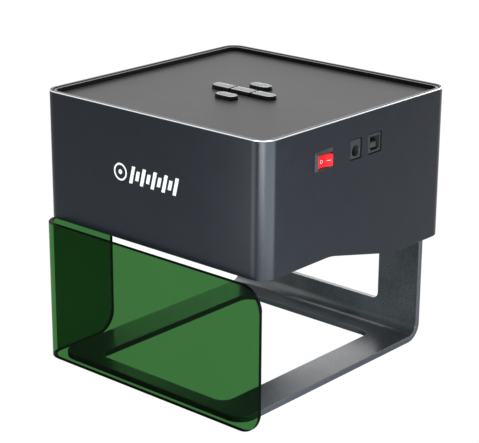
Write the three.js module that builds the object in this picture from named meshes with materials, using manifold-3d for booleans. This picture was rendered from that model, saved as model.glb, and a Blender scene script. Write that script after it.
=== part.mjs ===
// Desktop laser cutter: a box-shaped engraving head on a bent-plate stand, with a free-standing green shield.
// Millimetres. X runs to the right, Y from the head's front face to the rear, and Z up from the desk, until
// the whole model is moved at the end so that its origin is the middle of its footprint.
import * as THREE from 'three';
import { mergeVertices } from 'three/addons/utils/BufferGeometryUtils.js';
import Module from 'manifold-3d';

const wasm = await Module();
wasm.setup();

// ---------------------------------------------------------------- driving dimensions
const gap = 0.3; // room left between neighbouring pieces
const pastFace = 2; // how far a cutting tool runs past the face that it cuts

const head = {
  width: 158, depth: 155.5, top: 152.7, wall: 1.8, corner: 9, topChamfer: 0.6,
  frontLow: 80.5, rearLow: 67.5, // height of the side walls' lower edge, front and rear
  slopeStart: 54, slopeEnd: 110, frontKink: 4, rearKink: 6, // the slope between them, and how far each kink is eased
};
const stand = {
  halfWidth: 68, front: -3.2, rear: head.depth - head.wall - gap, thick: 3.5, lift: 0.6, top: 124,
  bend: 10, corner: 10,
  cutHalfWidth: 47.1, cutFront: 6.7, cutRear: 134.4, cutCorner: 7,
  windowHalfWidth: 40, windowLow: 18.6, windowTop: 60, windowCorner: 4,
};
const foot = { radius: 5, x: 57.5, front: 12, rear: 128 };
const shield = { width: 158.4, shift: 3, front: -7, thick: 2.5, height: 80, returnLength: 52, bend: 10, corner: 12.5 };

const panel = {
  lip: 1.7, lipTop: 152.3, floorTop: 149.9, floorThick: 2, skirtLow: 142,
  postRadius: 2.5, postX: 23, postY: 18,
};
const keys = {
  middle: 75, width: 7.6, barLength: 44, split: 0.8, pillLength: 14, pillOffset: 14.2,
  top: 152.5, flangeTop: 147.5, flangeThick: 1.5, flangeReach: 0.9, round: 0.5, stemRadius: 1.7, stemLow: 143,
};
const keypad = { halfLength: 26, halfWidth: 21, low: 139.9, thick: 1.6, switchSize: 6, switchHeight: 3.1 };

const rocker = {
  y: 45.5, z: 134.2, flangeLength: 14.2, flangeHeight: 11, rim: 1.4, slope: 1.5, // flange on the outer face
  bodyLength: 12.4, bodyHeight: 8.6, bodyDepth: 14, openLength: 11, openHeight: 7, pocketDepth: 6,
  keyHalfLength: 4.7, keyHeight: 6.4, keyRise: 0.75, keyMiddle: 1.3, pivotDepth: 1, tilt: 12,
};
const jack = { y: 72.7, low: 129.15, width: 8.4, height: 10.4, depth: 14.2, holeZ: 133.2, holeRadius: 2.95,
  holeDepth: 9, pinRadius: 1, pinInset: 3 };
const usb = { y: 88.8, low: 129.15, width: 10.8, height: 10.4, depth: 16, openWidth: 8.2, openHeight: 7.6, openZ: 134.2,
  openChamfer: 1.4, openDepth: 9, tongueWidth: 4.8, tongueHeight: 3, tongueInset: 0.8, tongueZ: 133 };
const portInset = 0.3; // the sockets' faces sit this far inside the sleeve's outer face
const portGap = 0.4; // slot left round each socket

const rail = { outer: head.width / 2 - head.wall - gap, thick: 1.6, front: head.corner + gap,
  rear: head.depth - head.corner - gap, low: 92, top: 127, shelf: 60 };
const bracket = { front: [5, 11], rear: [141.5, 149.3], low: 92, top: 124, holeDepth: 3 };
const board = { x: [57, 76.5], y: [34, 116], low: rail.top + gap, thick: 1.6 };

const travel = { laserY: 70, sliderY: 88 }; // places at the middle of the travel
const slider = { inner: 54.5, outer: 74, halfLength: 10, low: 91.5, top: 124.5, shoe: 102.5, wall: 5.5, socket: 5 };
const yAxis = { x: 66, rodZ: 97, screwZ: 113, rodRadius: 2.5, screwRadius: 2.2 };
const xAxis = { lowerRodZ: 103, upperRodZ: 119, screwZ: 111, rodRadius: 2, screwRadius: 1.5 };
const motor = { radius: 7, flat: 5.6, length: 12.7, boss: 3, bossLength: 0.8 };
const thread = { pitch: 8, depth: 0.4 }; // the lead screws' grooves

const laser = { half: 13, low: 90.3, top: 128, finGap: 1.6, finPitch: 3.4, finDepth: 5, finCount: 6 };
const barrel = { radius: 5.3, low: 84, boreRadius: 3.2, boreTop: 88.6, lensRadius: 2.9, lensLow: 86.4, lensThick: 1.2 };
const ring = { radius: 8, low: 84.8, top: 89.3, ribs: 18, ribDepth: 0.5 };
const fan = { half: 12.5, low: laser.top + gap, thick: 7.2, holeRadius: 11.5, hubRadius: 4.6, bladeRadius: 10.9,
  blades: 7, bladeTilt: 38, strut: 1.6, strutThick: 1.2 };
const carriage = { halfWidth: 13, rear: 95, low: 97, top: 125 };
const screw = { x: 55, z: [98, 118], radius: 1.5, headRadius: 2.75, headDepth: 1.4, front: 143.5 };

// ---------------------------------------------------------------- solids
function toSolid(geometry) {
  const plain = geometry.clone();
  plain.deleteAttribute('normal');
  plain.deleteAttribute('uv');
  const merged = mergeVertices(plain, 1e-4);
  const triVerts = [];
  for (let start = 0; start < merged.index.count; start += 3) {
    const [a, b, c] = merged.index.array.slice(start, start + 3);
    if (a !== b && b !== c && c !== a) triVerts.push(a, b, c); // leaves out triangles that merging closed up
  }
  return new wasm.Manifold(new wasm.Mesh({
    numProp: 3,
    vertProperties: new Float32Array(merged.attributes.position.array),
    triVerts: new Uint32Array(triVerts),
  }));
}

function toGeometry(solid) {
  const mesh = solid.getMesh();
  const geometry = new THREE.BufferGeometry();
  geometry.setAttribute('position', new THREE.BufferAttribute(mesh.vertProperties, 3));
  geometry.setIndex(new THREE.BufferAttribute(mesh.triVerts, 1));
  return geometry;
}

const cut = (body, ...tools) =>
  toGeometry(tools.reduce((solid, tool) => solid.subtract(toSolid(tool)), toSolid(body)));
const join = (...pieces) => toGeometry(pieces.map(toSolid).reduce((all, piece) => all.add(piece)));
const overlap = (first, second) => toGeometry(toSolid(first).intersect(toSolid(second)));

function block([x0, x1], [y0, y1], [z0, z1]) {
  const geometry = new THREE.BoxGeometry(x1 - x0, y1 - y0, z1 - z0);
  return geometry.translate((x0 + x1) / 2, (y0 + y1) / 2, (z0 + z1) / 2);
}

// A round bar along one axis, from one coordinate to another, through the given point of the other two axes.
function roundBar(axis, radius, [from, to], [u, v], sides = 24) {
  const geometry = new THREE.CylinderGeometry(radius, radius, to - from, sides);
  const middle = (from + to) / 2;
  if (axis === 'x') return geometry.rotateZ(-Math.PI / 2).translate(middle, u, v);
  if (axis === 'y') return geometry.translate(u, middle, v);
  return geometry.rotateX(Math.PI / 2).translate(u, v, middle);
}

// Outlines are drawn in two coordinates and extruded along the third.
function alongZ(outline, [z0, z1], steps = 4) {
  return new THREE.ExtrudeGeometry(outline, { depth: z1 - z0, bevelEnabled: false, curveSegments: steps })
    .translate(0, 0, z0);
}

function alongY(outlineXZ, [y0, y1], steps = 4) {
  return new THREE.ExtrudeGeometry(outlineXZ, { depth: y1 - y0, bevelEnabled: false, curveSegments: steps })
    .rotateX(Math.PI / 2).translate(0, y1, 0);
}

function alongX(outlineYZ, [x0, x1], steps = 4) {
  const turn = new THREE.Matrix4().makeBasis(
    new THREE.Vector3(0, 1, 0), new THREE.Vector3(0, 0, 1), new THREE.Vector3(1, 0, 0));
  return new THREE.ExtrudeGeometry(outlineYZ, { depth: x1 - x0, bevelEnabled: false, curveSegments: steps })
    .applyMatrix4(turn).translate(x0, 0, 0);
}

function polygon(points) {
  return new THREE.Shape(points.map(([u, v]) => new THREE.Vector2(u, v)));
}

function roundedRectangle([u0, u1], [v0, v1], radius) {
  const shape = new THREE.Shape();
  const quarter = Math.PI / 2;
  shape.absarc(u1 - radius, v1 - radius, radius, 0, quarter);
  shape.absarc(u0 + radius, v1 - radius, radius, quarter, 2 * quarter);
  shape.absarc(u0 + radius, v0 + radius, radius, 2 * quarter, 3 * quarter);
  shape.absarc(u1 - radius, v0 + radius, radius, 3 * quarter, 4 * quarter);
  shape.closePath();
  return shape;
}

// The head's plan outline, moved inwards by an inset.
function headOutline(inset) {
  const half = head.width / 2 - inset;
  return roundedRectangle([-half, half], [inset, head.depth - inset], head.corner - inset);
}

// ---------------------------------------------------------------- the model group
const colours = {
  anodised: [0x3b4048, 0.5, 0.7], stand: [0x44474c, 0.45, 0.8], panel: [0x4a4a4b, 0.6, 0.0],
  keyTop: [0xb9bbbb, 0.35, 0.6], red: [0xd81e1e, 0.4, 0.0], black: [0x1c1d1e, 0.55, 0.0],
  green: [0x1f7a2a, 0.1, 0.0], rubber: [0x202020, 0.9, 0.0], steel: [0xb8bcc0, 0.3, 1.0],
  sheet: [0x5a5d61, 0.5, 0.8], circuit: [0x14502c, 0.5, 0.0], aluminium: [0x9a9da1, 0.4, 1.0],
  brass: [0xb58b3c, 0.35, 1.0], glass: [0xcfe4f2, 0.05, 0.0], darkMetal: [0x26282b, 0.45, 0.7],
  ivory: [0x8b8d8c, 0.5, 0.0],
};

const machine = new THREE.Group();

function add(name, colour, geometry) {
  const [color, roughness, metalness] = colours[colour];
  const material = new THREE.MeshStandardMaterial({ color, roughness, metalness });
  const mesh = new THREE.Mesh(geometry, material);
  mesh.name = name;
  machine.add(mesh);
  return mesh;
}

// ---------------------------------------------------------------- stand and feet
// One plate, bent up at the rear, with a large cut-out in its base and a window in its back.
function standPlate() {
  const { front, rear, lift, thick, bend, halfWidth, top } = stand;
  const side = new THREE.Shape();
  side.moveTo(front, lift);
  side.lineTo(rear - bend, lift);
  side.absarc(rear - bend, lift + bend, bend, -Math.PI / 2, 0, false);
  side.lineTo(rear, top);
  side.lineTo(rear - thick, top);
  side.lineTo(rear - thick, lift + bend);
  side.absarc(rear - bend, lift + bend, bend - thick, 0, -Math.PI / 2, true);
  side.lineTo(front, lift + thick);
  side.closePath();
  const bentPlate = alongX(side, [-halfWidth, halfWidth], 5);

  const plan = roundedRectangle([-halfWidth, halfWidth], [front, rear + 2 * stand.corner], stand.corner);
  const face = roundedRectangle([-halfWidth, halfWidth], [-2 * stand.corner, top], stand.corner);
  const cutOut = roundedRectangle(
    [-stand.cutHalfWidth, stand.cutHalfWidth], [stand.cutFront, stand.cutRear], stand.cutCorner);
  const window = roundedRectangle(
    [-stand.windowHalfWidth, stand.windowHalfWidth], [stand.windowLow, stand.windowTop], stand.windowCorner);
  const rounded = overlap(
    overlap(bentPlate, alongZ(plan, [-pastFace, top + pastFace])),
    alongY(face, [front - pastFace, rear + pastFace]));
  return cut(rounded,
    alongZ(cutOut, [-pastFace, lift + thick + pastFace]),
    alongY(window, [rear - thick - pastFace, rear + pastFace]),
    ...screwPlaces().map(([x, z]) =>
      roundBar('y', screw.radius + gap, [rear - thick - pastFace, rear + pastFace], [x, z], 16)));
}

function screwPlaces() {
  return [-screw.x, screw.x].flatMap((x) => screw.z.map((z) => [x, z]));
}

add('stand_plate', 'stand', standPlate());
[[-1, foot.front], [1, foot.front], [-1, foot.rear], [1, foot.rear]].forEach(([side, y], index) => {
  add(`foot_pad_${index + 1}`, 'rubber', roundBar('z', foot.radius, [0, stand.lift], [side * foot.x, y]));
});

// ---------------------------------------------------------------- head sleeve
// A drawn aluminium sleeve: four walls with round corners, a bright chamfer round the top, and a lower edge
// that slopes down towards the rear so that the sides shade the beam.
function headSleeve() {
  const chamfer = head.topChamfer;
  const outer = new THREE.ExtrudeGeometry(headOutline(0), {
    depth: head.top - head.rearLow, curveSegments: 5,
    bevelEnabled: true, bevelSegments: 1, bevelThickness: chamfer, bevelSize: chamfer, bevelOffset: -chamfer,
  }).translate(0, 0, head.rearLow - chamfer);
  const inner = alongZ(headOutline(head.wall), [head.rearLow - pastFace - chamfer, head.top + pastFace], 5);

  const below = new THREE.Shape();
  const slope = (head.rearLow - head.frontLow) / (head.slopeEnd - head.slopeStart);
  below.moveTo(-pastFace, 0);
  below.lineTo(head.depth + pastFace, 0);
  below.lineTo(head.depth + pastFace, head.rearLow);
  below.lineTo(head.slopeEnd + head.rearKink, head.rearLow);
  below.quadraticCurveTo(head.slopeEnd, head.rearLow,
    head.slopeEnd - head.rearKink, head.rearLow - slope * head.rearKink);
  below.lineTo(head.slopeStart + head.frontKink, head.frontLow + slope * head.frontKink);
  below.quadraticCurveTo(head.slopeStart, head.frontLow, head.slopeStart - head.frontKink, head.frontLow);
  below.lineTo(-pastFace, head.frontLow);
  below.closePath();

  const face = head.width / 2;
  const wallCut = [face - head.wall - pastFace, face + pastFace];
  const openings = [
    block(wallCut, around(rocker.y, rocker.bodyLength + 2 * gap), around(rocker.z, rocker.bodyHeight + 2 * gap)),
    block(wallCut, around(jack.y, jack.width + 2 * portGap), [jack.low - portGap, jack.low + jack.height + portGap]),
    block(wallCut, around(usb.y, usb.width + 2 * portGap), [usb.low - portGap, usb.low + usb.height + portGap]),
  ];
  const sinks = screwPlaces().map(([x, z]) => screwShape(gap, head.depth + pastFace).translate(x, 0, z));
  const reach = face + pastFace;
  return cut(outer, inner, alongX(below, [-reach, reach]), ...openings, ...sinks);
}

function around(middle, size) {
  return [middle - size / 2, middle + size / 2];
}

// A countersunk screw along Y with its head's face at the sleeve's rear face; spare makes the matching hole.
function screwShape(spare, end = head.depth) {
  const points = [
    [0, screw.front], [screw.radius + spare, screw.front], [screw.radius + spare, head.depth - screw.headDepth],
    [screw.headRadius + spare, head.depth], [screw.headRadius + spare, end], [0, end],
  ].filter(([, y], index, all) => index === 0 || all[index - 1][1] !== y || all[index - 1][0] !== all[index][0]);
  return new THREE.LatheGeometry(points.map(([r, y]) => new THREE.Vector2(r, y)), 20);
}

add('head_sleeve', 'anodised', headSleeve());
screwPlaces().forEach(([x, z], index) => {
  add(`rear_screw_${index + 1}`, 'darkMetal', screwShape(0).translate(x, 0, z));
});

// ---------------------------------------------------------------- top panel, keys and keypad
const keyPlaces = [
  ['button_left', -(keys.barLength + 2 * keys.split) / 3 + keys.split / 3, 0],
  ['button_centre', 0, 0],
  ['button_right', (keys.barLength + 2 * keys.split) / 3 - keys.split / 3, 0],
  ['button_back', 0, keys.pillOffset],
  ['button_front', 0, -keys.pillOffset],
];

function pill(length, width, [x, y]) {
  const shape = new THREE.Shape();
  const reach = (length - width) / 2;
  shape.absarc(x + reach, y, width / 2, -Math.PI / 2, Math.PI / 2);
  shape.absarc(x - reach, y, width / 2, Math.PI / 2, 1.5 * Math.PI);
  shape.closePath();
  return shape;
}

function topPanel() {
  const outline = head.wall + gap;
  const body = alongZ(headOutline(outline), [panel.skirtLow, panel.lipTop]);
  const well = alongZ(headOutline(outline + panel.lip), [panel.floorTop, panel.lipTop + pastFace]);
  const underside = alongZ(headOutline(outline + panel.lip),
    [panel.skirtLow - pastFace, panel.floorTop - panel.floorThick]);
  const through = [panel.floorTop - panel.floorThick - pastFace, panel.floorTop + pastFace];
  const width = keys.width + 2 * gap;
  const slots = [
    alongZ(pill(keys.barLength + 2 * gap, width, [0, keys.middle]), through),
    alongZ(pill(keys.pillLength + 2 * gap, width, [0, keys.middle + keys.pillOffset]), through),
    alongZ(pill(keys.pillLength + 2 * gap, width, [0, keys.middle - keys.pillOffset]), through),
  ];
  const postTop = panel.floorTop - panel.floorThick / 2;
  const postLow = keypad.low + keypad.thick + gap;
  const posts = [-1, 1].flatMap((sideX) => [-1, 1].map((sideY) => roundBar('z', panel.postRadius,
    [postLow, postTop], [sideX * panel.postX, keys.middle + sideY * panel.postY], 16)));
  return join(cut(body, well, underside, ...slots), ...posts);
}

// A key cap with a softened top edge, a flange that stops it under the panel, and a stem down to its switch.
function keyCap(name, x, y) {
  const isBarEnd = name === 'button_left' || name === 'button_right';
  const isPill = y !== 0;
  const middle = [x, keys.middle + y];
  const length = isPill ? keys.pillLength : (keys.barLength - 2 * keys.split) / 3;
  const low = keys.flangeTop - keys.flangeThick;
  const capTop = keys.top - keys.round;
  let outline = pill(length, keys.width, middle);
  if (name === 'button_centre') {
    outline = polygon([[-length / 2, -keys.width / 2], [length / 2, -keys.width / 2],
      [length / 2, keys.width / 2], [-length / 2, keys.width / 2]].map(([u, v]) => [u + middle[0], v + middle[1]]));
  } else if (isBarEnd) {
    outline = barEnd(x, length, middle);
  }
  const cap = new THREE.ExtrudeGeometry(outline, {
    depth: capTop - low, curveSegments: 4, bevelEnabled: true, bevelSegments: 2,
    bevelThickness: keys.round, bevelSize: keys.round, bevelOffset: -keys.round,
  }).translate(0, 0, low);
  const flange = block(around(middle[0], length - 2 * keys.round),
    around(middle[1], keys.width + 2 * keys.flangeReach), [low, keys.flangeTop]);
  const stem = roundBar('z', keys.stemRadius, [keys.stemLow, low + keys.round], middle, 16);
  return join(cap, flange, stem);
}

// The bar's outer keys are round at their outer end and square where they meet the centre key.
function barEnd(x, length, [middleX, middleY]) {
  const side = Math.sign(x);
  const radius = keys.width / 2;
  const shape = new THREE.Shape();
  const inner = middleX - side * length / 2;
  const outerCentre = middleX + side * (length / 2 - radius);
  shape.moveTo(inner, middleY - side * radius);
  shape.lineTo(outerCentre, middleY - side * radius);
  shape.absarc(outerCentre, middleY, radius, -side * Math.PI / 2, side * Math.PI / 2, false);
  shape.lineTo(inner, middleY + side * radius);
  shape.closePath();
  return shape;
}

function keySwitch([x, y]) {
  const low = keypad.low + keypad.thick;
  const body = block(around(x, keypad.switchSize), around(y, keypad.switchSize), [low, low + keypad.switchHeight]);
  return cut(body, roundBar('z', keys.stemRadius + gap, [low + 0.5, low + keypad.switchHeight + pastFace], [x, y], 16));
}

add('top_panel', 'panel', topPanel());
add('keypad_board', 'circuit', block([-keypad.halfLength, keypad.halfLength],
  around(keys.middle, 2 * keypad.halfWidth), [keypad.low, keypad.low + keypad.thick]));
keyPlaces.forEach(([name, x, y]) => {
  add(name, 'keyTop', keyCap(name, x, y));
  add(name.replace('button', 'key_switch'), 'black', keySwitch([x, keys.middle + y]));
});

// ---------------------------------------------------------------- power switch and sockets in the right wall
const rightFace = head.width / 2;

function rockerHousing() {
  const { y, z } = rocker;
  const [front, rear] = around(y, rocker.flangeLength);
  const [low, high] = around(z, rocker.flangeHeight);
  const outline = polygon([[front, low], [rear, low], [rear, high], [front, high]]);
  const flange = new THREE.ExtrudeGeometry(outline, {
    depth: 0.1, curveSegments: 1, bevelEnabled: true, bevelSegments: 1,
    bevelThickness: rocker.rim - 0.1, bevelSize: rocker.slope, bevelOffset: -rocker.slope,
  }).applyMatrix4(new THREE.Matrix4().makeBasis(
    new THREE.Vector3(0, 1, 0), new THREE.Vector3(0, 0, 1), new THREE.Vector3(1, 0, 0))).translate(rightFace, 0, 0);
  const outside = block([rightFace, rightFace + 2 * rocker.rim], around(y, 20), around(z, 20));
  const body = block([rightFace - rocker.bodyDepth, rightFace + 0.1],
    around(y, rocker.bodyLength), around(z, rocker.bodyHeight));
  const pocket = block([rightFace - rocker.pocketDepth, rightFace + rocker.rim + pastFace],
    around(y, rocker.openLength), around(z, rocker.openHeight));
  return cut(join(overlap(flange, outside), body), pocket);
}

// The key is a shallow V seen from above; it is made level and then tilted with its rear end out.
function rockerKey() {
  const { keyHalfLength: half, keyMiddle, keyRise, pivotDepth } = rocker;
  const crest = keyMiddle + pivotDepth;
  const outline = polygon([[-half, crest + keyRise], [-half + 0.3, -0.6], [-2.2, -3.2], [2.2, -3.2],
    [half - 0.3, -0.6], [half, crest + keyRise], [0, crest]]);
  return new THREE.ExtrudeGeometry(outline, { depth: rocker.keyHeight, bevelEnabled: false })
    .applyMatrix4(new THREE.Matrix4().makeBasis(
      new THREE.Vector3(0, 1, 0), new THREE.Vector3(1, 0, 0), new THREE.Vector3(0, 0, -1)))
    .translate(0, 0, rocker.keyHeight / 2);
}

add('rocker_housing', 'black', rockerHousing());
const key = add('rocker_key', 'red', rockerKey());
key.position.set(rightFace - rocker.pivotDepth, rocker.y, rocker.z);
key.rotation.z = THREE.MathUtils.degToRad(-rocker.tilt);

const portFace = rightFace - portInset;
add('power_jack', 'black', cut(
  block([portFace - jack.depth, portFace], around(jack.y, jack.width), [jack.low, jack.low + jack.height]),
  roundBar('x', jack.holeRadius, [portFace - jack.holeDepth, portFace + pastFace], [jack.y, jack.holeZ])));
add('jack_pin', 'steel', roundBar('x', jack.pinRadius,
  [portFace - jack.holeDepth + gap, portFace - jack.pinInset], [jack.y, jack.holeZ], 16));

function usbOpening() {
  const [left, right] = around(usb.y, usb.openWidth);
  const [low, top] = around(usb.openZ, usb.openHeight);
  const slant = usb.openChamfer;
  return alongX(polygon([[left + slant, low], [right - slant, low], [right, low + slant], [right, top],
    [left, top], [left, low + slant]]), [portFace - usb.openDepth, portFace + pastFace]);
}

add('usb_socket', 'black', cut(
  block([portFace - usb.depth, portFace], around(usb.y, usb.width), [usb.low, usb.low + usb.height]), usbOpening()));
add('usb_tongue', 'ivory', block([portFace - usb.openDepth + gap, portFace - usb.tongueInset],
  around(usb.y, usb.tongueWidth), around(usb.tongueZ, usb.tongueHeight)));
add('control_board', 'circuit', block(board.x, board.y, [board.low, board.low + board.thick]));

// ---------------------------------------------------------------- inner frame
// Two angle rails and two cross brackets, held by the rear screws, carry the Y rods.
function angleRail(side) {
  const outer = side * rail.outer;
  const inner = side * (rail.outer - rail.thick);
  const shelf = side * rail.shelf;
  const shelfLow = rail.top - rail.thick;
  const points = [[outer, rail.low], [outer, rail.top], [shelf, rail.top], [shelf, shelfLow],
    [inner, shelfLow], [inner, rail.low]];
  return alongY(polygon(points), [rail.front, rail.rear]);
}

function crossBracket([y0, y1], holeSpan) {
  const half = rail.outer - rail.thick - gap;
  const { x, rodZ, screwZ, rodRadius, screwRadius } = yAxis;
  return cut(block([-half, half], [y0, y1], [bracket.low, bracket.top]),
    ...[-x, x].map((place) => roundBar('y', rodRadius + gap, holeSpan, [place, rodZ])),
    roundBar('y', screwRadius + gap, holeSpan, [-x, screwZ]));
}

add('rail_left', 'sheet', angleRail(-1));
add('rail_right', 'sheet', angleRail(1));
const [frontFace, rearFace] = [bracket.front[1], bracket.rear[0]];
add('front_bracket', 'sheet', crossBracket(bracket.front, [frontFace - bracket.holeDepth, frontFace + pastFace]));
add('rear_bracket', 'sheet', cut(
  crossBracket(bracket.rear, [rearFace - pastFace, rearFace + bracket.holeDepth]),
  ...screwPlaces().map(([x, z]) => screwShape(gap).translate(x, 0, z))));

const yRodSpan = [frontFace - bracket.holeDepth + gap, rearFace + bracket.holeDepth - gap];
add('y_rod_left', 'steel', roundBar('y', yAxis.rodRadius, yRodSpan, [-yAxis.x, yAxis.rodZ]));
add('y_rod_right', 'steel', roundBar('y', yAxis.rodRadius, yRodSpan, [yAxis.x, yAxis.rodZ]));

// A small round motor with two flats, along Y from 0, its shaft end first.
function motorBody() {
  const can = roundBar('y', motor.radius, [motor.bossLength, motor.bossLength + motor.length], [0, 0], 32);
  const flats = block([-motor.radius, motor.radius], [0, 20], [-motor.flat, motor.flat]);
  return join(overlap(can, flats), roundBar('y', motor.boss, [0, motor.bossLength + 1], [0, 0], 20));
}

// A lead screw along Y from 0 with ring grooves, so that it looks the same at every turn.
function leadScrew(radius, length) {
  const plain = 4;
  const profile = [[0, 0], [radius, 0], [radius, plain]];
  for (let y = plain + thread.pitch / 2; y + thread.pitch < length - plain; y += thread.pitch) {
    profile.push([radius, y], [radius - thread.depth, y + thread.pitch / 4],
      [radius - thread.depth, y + thread.pitch / 2], [radius, y + 3 * thread.pitch / 4]);
  }
  profile.push([radius, length], [0, length]);
  return new THREE.LatheGeometry(profile.map(([r, y]) => new THREE.Vector2(r, y)), 10);
}

const yMotorRear = frontFace + gap + motor.length + motor.bossLength;
add('y_motor', 'darkMetal', motorBody().rotateX(Math.PI).translate(-yAxis.x, yMotorRear, yAxis.screwZ));
const yScrewFront = yMotorRear + gap;
add('y_screw', 'steel', leadScrew(yAxis.screwRadius, yRodSpan[1] - yScrewFront)
  .translate(-yAxis.x, yScrewFront, yAxis.screwZ));

// ---------------------------------------------------------------- gantry
const sliderY = around(travel.sliderY, 2 * slider.halfLength);
const socketEnd = slider.inner + slider.socket;

function sliderHoles(side) {
  const { x, rodZ, rodRadius } = yAxis;
  const span = side < 0 ? [-socketEnd, -slider.inner + pastFace] : [slider.inner - pastFace, socketEnd];
  return [
    roundBar('y', rodRadius + gap, [sliderY[0] - pastFace, sliderY[1] + pastFace], [side * x, rodZ]),
    roundBar('x', xAxis.rodRadius + gap, span, [travel.sliderY, xAxis.lowerRodZ], 20),
    roundBar('x', xAxis.rodRadius + gap, span, [travel.sliderY, xAxis.upperRodZ], 20),
  ];
}

add('slider_left', 'black', cut(
  block([-slider.outer, -slider.inner], sliderY, [slider.low, slider.top]), ...sliderHoles(-1),
  roundBar('y', yAxis.screwRadius + gap, [sliderY[0] - pastFace, sliderY[1] + pastFace], [-yAxis.x, yAxis.screwZ]),
  roundBar('x', xAxis.screwRadius + gap, [-slider.inner - 3, -slider.inner + pastFace],
    [travel.sliderY, xAxis.screwZ], 20)));
add('slider_right', 'black', cut(
  join(block([slider.inner, slider.outer], sliderY, [slider.low, slider.shoe]),
    block([slider.inner, slider.inner + slider.wall], sliderY, [slider.low, slider.top])),
  ...sliderHoles(1),
  roundBar('x', xAxis.screwRadius + gap, [slider.inner - pastFace, slider.outer], [travel.sliderY, xAxis.screwZ], 20)));

const xRodSpan = [-socketEnd + gap, socketEnd - gap];
add('x_rod_lower', 'steel', roundBar('x', xAxis.rodRadius, xRodSpan, [travel.sliderY, xAxis.lowerRodZ], 20));
add('x_rod_upper', 'steel', roundBar('x', xAxis.rodRadius, xRodSpan, [travel.sliderY, xAxis.upperRodZ], 20));

const xMotorLeft = slider.inner + slider.wall + gap;
add('x_motor', 'darkMetal', motorBody().rotateZ(-Math.PI / 2).translate(xMotorLeft, travel.sliderY, xAxis.screwZ));
const xScrewSpan = [-slider.inner - 2.7, xMotorLeft - gap];
add('x_screw', 'steel', leadScrew(xAxis.screwRadius, xScrewSpan[1] - xScrewSpan[0])
  .rotateZ(-Math.PI / 2).translate(xScrewSpan[0], travel.sliderY, xAxis.screwZ));

// ---------------------------------------------------------------- carriage and laser module
const laserRear = travel.laserY + laser.half;
const through = [-carriage.halfWidth - pastFace, carriage.halfWidth + pastFace];
add('carriage_block', 'black', cut(
  block([-carriage.halfWidth, carriage.halfWidth], [laserRear + gap, carriage.rear], [carriage.low, carriage.top]),
  roundBar('x', xAxis.rodRadius + gap, through, [travel.sliderY, xAxis.lowerRodZ], 20),
  roundBar('x', xAxis.rodRadius + gap, through, [travel.sliderY, xAxis.upperRodZ], 20),
  roundBar('x', xAxis.screwRadius + gap, through, [travel.sliderY, xAxis.screwZ], 20)));

function heatSink() {
  const { half, low, top, finGap, finPitch, finDepth, finCount } = laser;
  const [front, rear] = around(travel.laserY, 2 * half);
  const grooves = [];
  for (let index = 0; index < finCount; index += 1) {
    const y = front + finPitch * (index + 1);
    grooves.push(block([-half - 1, -half + finDepth], around(y, finGap), [low - 1, top + 1]));
    grooves.push(block([half - finDepth, half + 1], around(y, finGap), [low - 1, top + 1]));
  }
  return cut(block([-half, half], [front, rear], [low, top]), ...grooves);
}

add('laser_heatsink', 'aluminium', heatSink());
add('lens_barrel', 'brass', new THREE.LatheGeometry([
  [barrel.boreRadius, barrel.low], [barrel.radius, barrel.low], [barrel.radius, laser.low - gap],
  [0, laser.low - gap], [0, barrel.boreTop], [barrel.boreRadius, barrel.boreTop], [barrel.boreRadius, barrel.low],
].map(([r, z]) => new THREE.Vector2(r, z)), 24).rotateX(Math.PI / 2)
  .translate(0, travel.laserY, 0));
add('laser_lens', 'glass', roundBar('z', barrel.lensRadius,
  [barrel.lensLow, barrel.lensLow + barrel.lensThick], [0, travel.laserY]));

function focusRing() {
  const outline = new THREE.Shape();
  outline.absarc(0, travel.laserY, ring.radius - ring.ribDepth, 0, 2 * Math.PI);
  const hole = alongZ(circle(barrel.radius + gap), [ring.low - 1, ring.top + 1], 12);
  const ribs = [];
  for (let index = 0; index < ring.ribs; index += 1) {
    const rib = block([ring.radius - 2, ring.radius], [-0.6, 0.6], [ring.low, ring.top]);
    ribs.push(rib.rotateZ(2 * Math.PI * index / ring.ribs).translate(0, travel.laserY, 0));
  }
  return cut(join(alongZ(outline, [ring.low, ring.top], 18), ...ribs), hole);
}

function circle(radius) {
  const shape = new THREE.Shape();
  shape.absarc(0, travel.laserY, radius, 0, 2 * Math.PI);
  return shape;
}

add('focus_ring', 'darkMetal', focusRing());

function fanFrame() {
  const { half, low, thick, holeRadius, hubRadius, strut, strutThick } = fan;
  const y = travel.laserY;
  const frame = cut(block([-half, half], around(y, 2 * half), [low, low + thick]),
    roundBar('z', holeRadius, [low - 1, low + thick + 1], [0, y], 36));
  const layer = [low, low + strutThick];
  const struts = [45, 135].map((angle) => block([-half, half], around(0, strut), layer)
    .rotateZ(THREE.MathUtils.degToRad(angle)).translate(0, y, 0));
  return join(frame, ...struts, roundBar('z', hubRadius, layer, [0, y]));
}

function fanRotor() {
  const { low, thick, strutThick, hubRadius, bladeRadius, blades, bladeTilt } = fan;
  const rotorLow = low + strutThick + gap;
  const rotorTop = low + thick - gap;
  const middle = (rotorLow + rotorTop) / 2;
  const pieces = [roundBar('z', hubRadius, [rotorLow, rotorTop], [0, 0])];
  for (let index = 0; index < blades; index += 1) {
    pieces.push(block([hubRadius - 1, bladeRadius], [-3, 3], [-0.35, 0.35])
      .rotateX(THREE.MathUtils.degToRad(bladeTilt)).translate(0, 0, middle)
      .rotateZ(2 * Math.PI * index / blades));
  }
  return join(...pieces).translate(0, travel.laserY, 0);
}

add('fan_frame', 'black', fanFrame());
add('fan_rotor', 'black', fanRotor());

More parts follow.
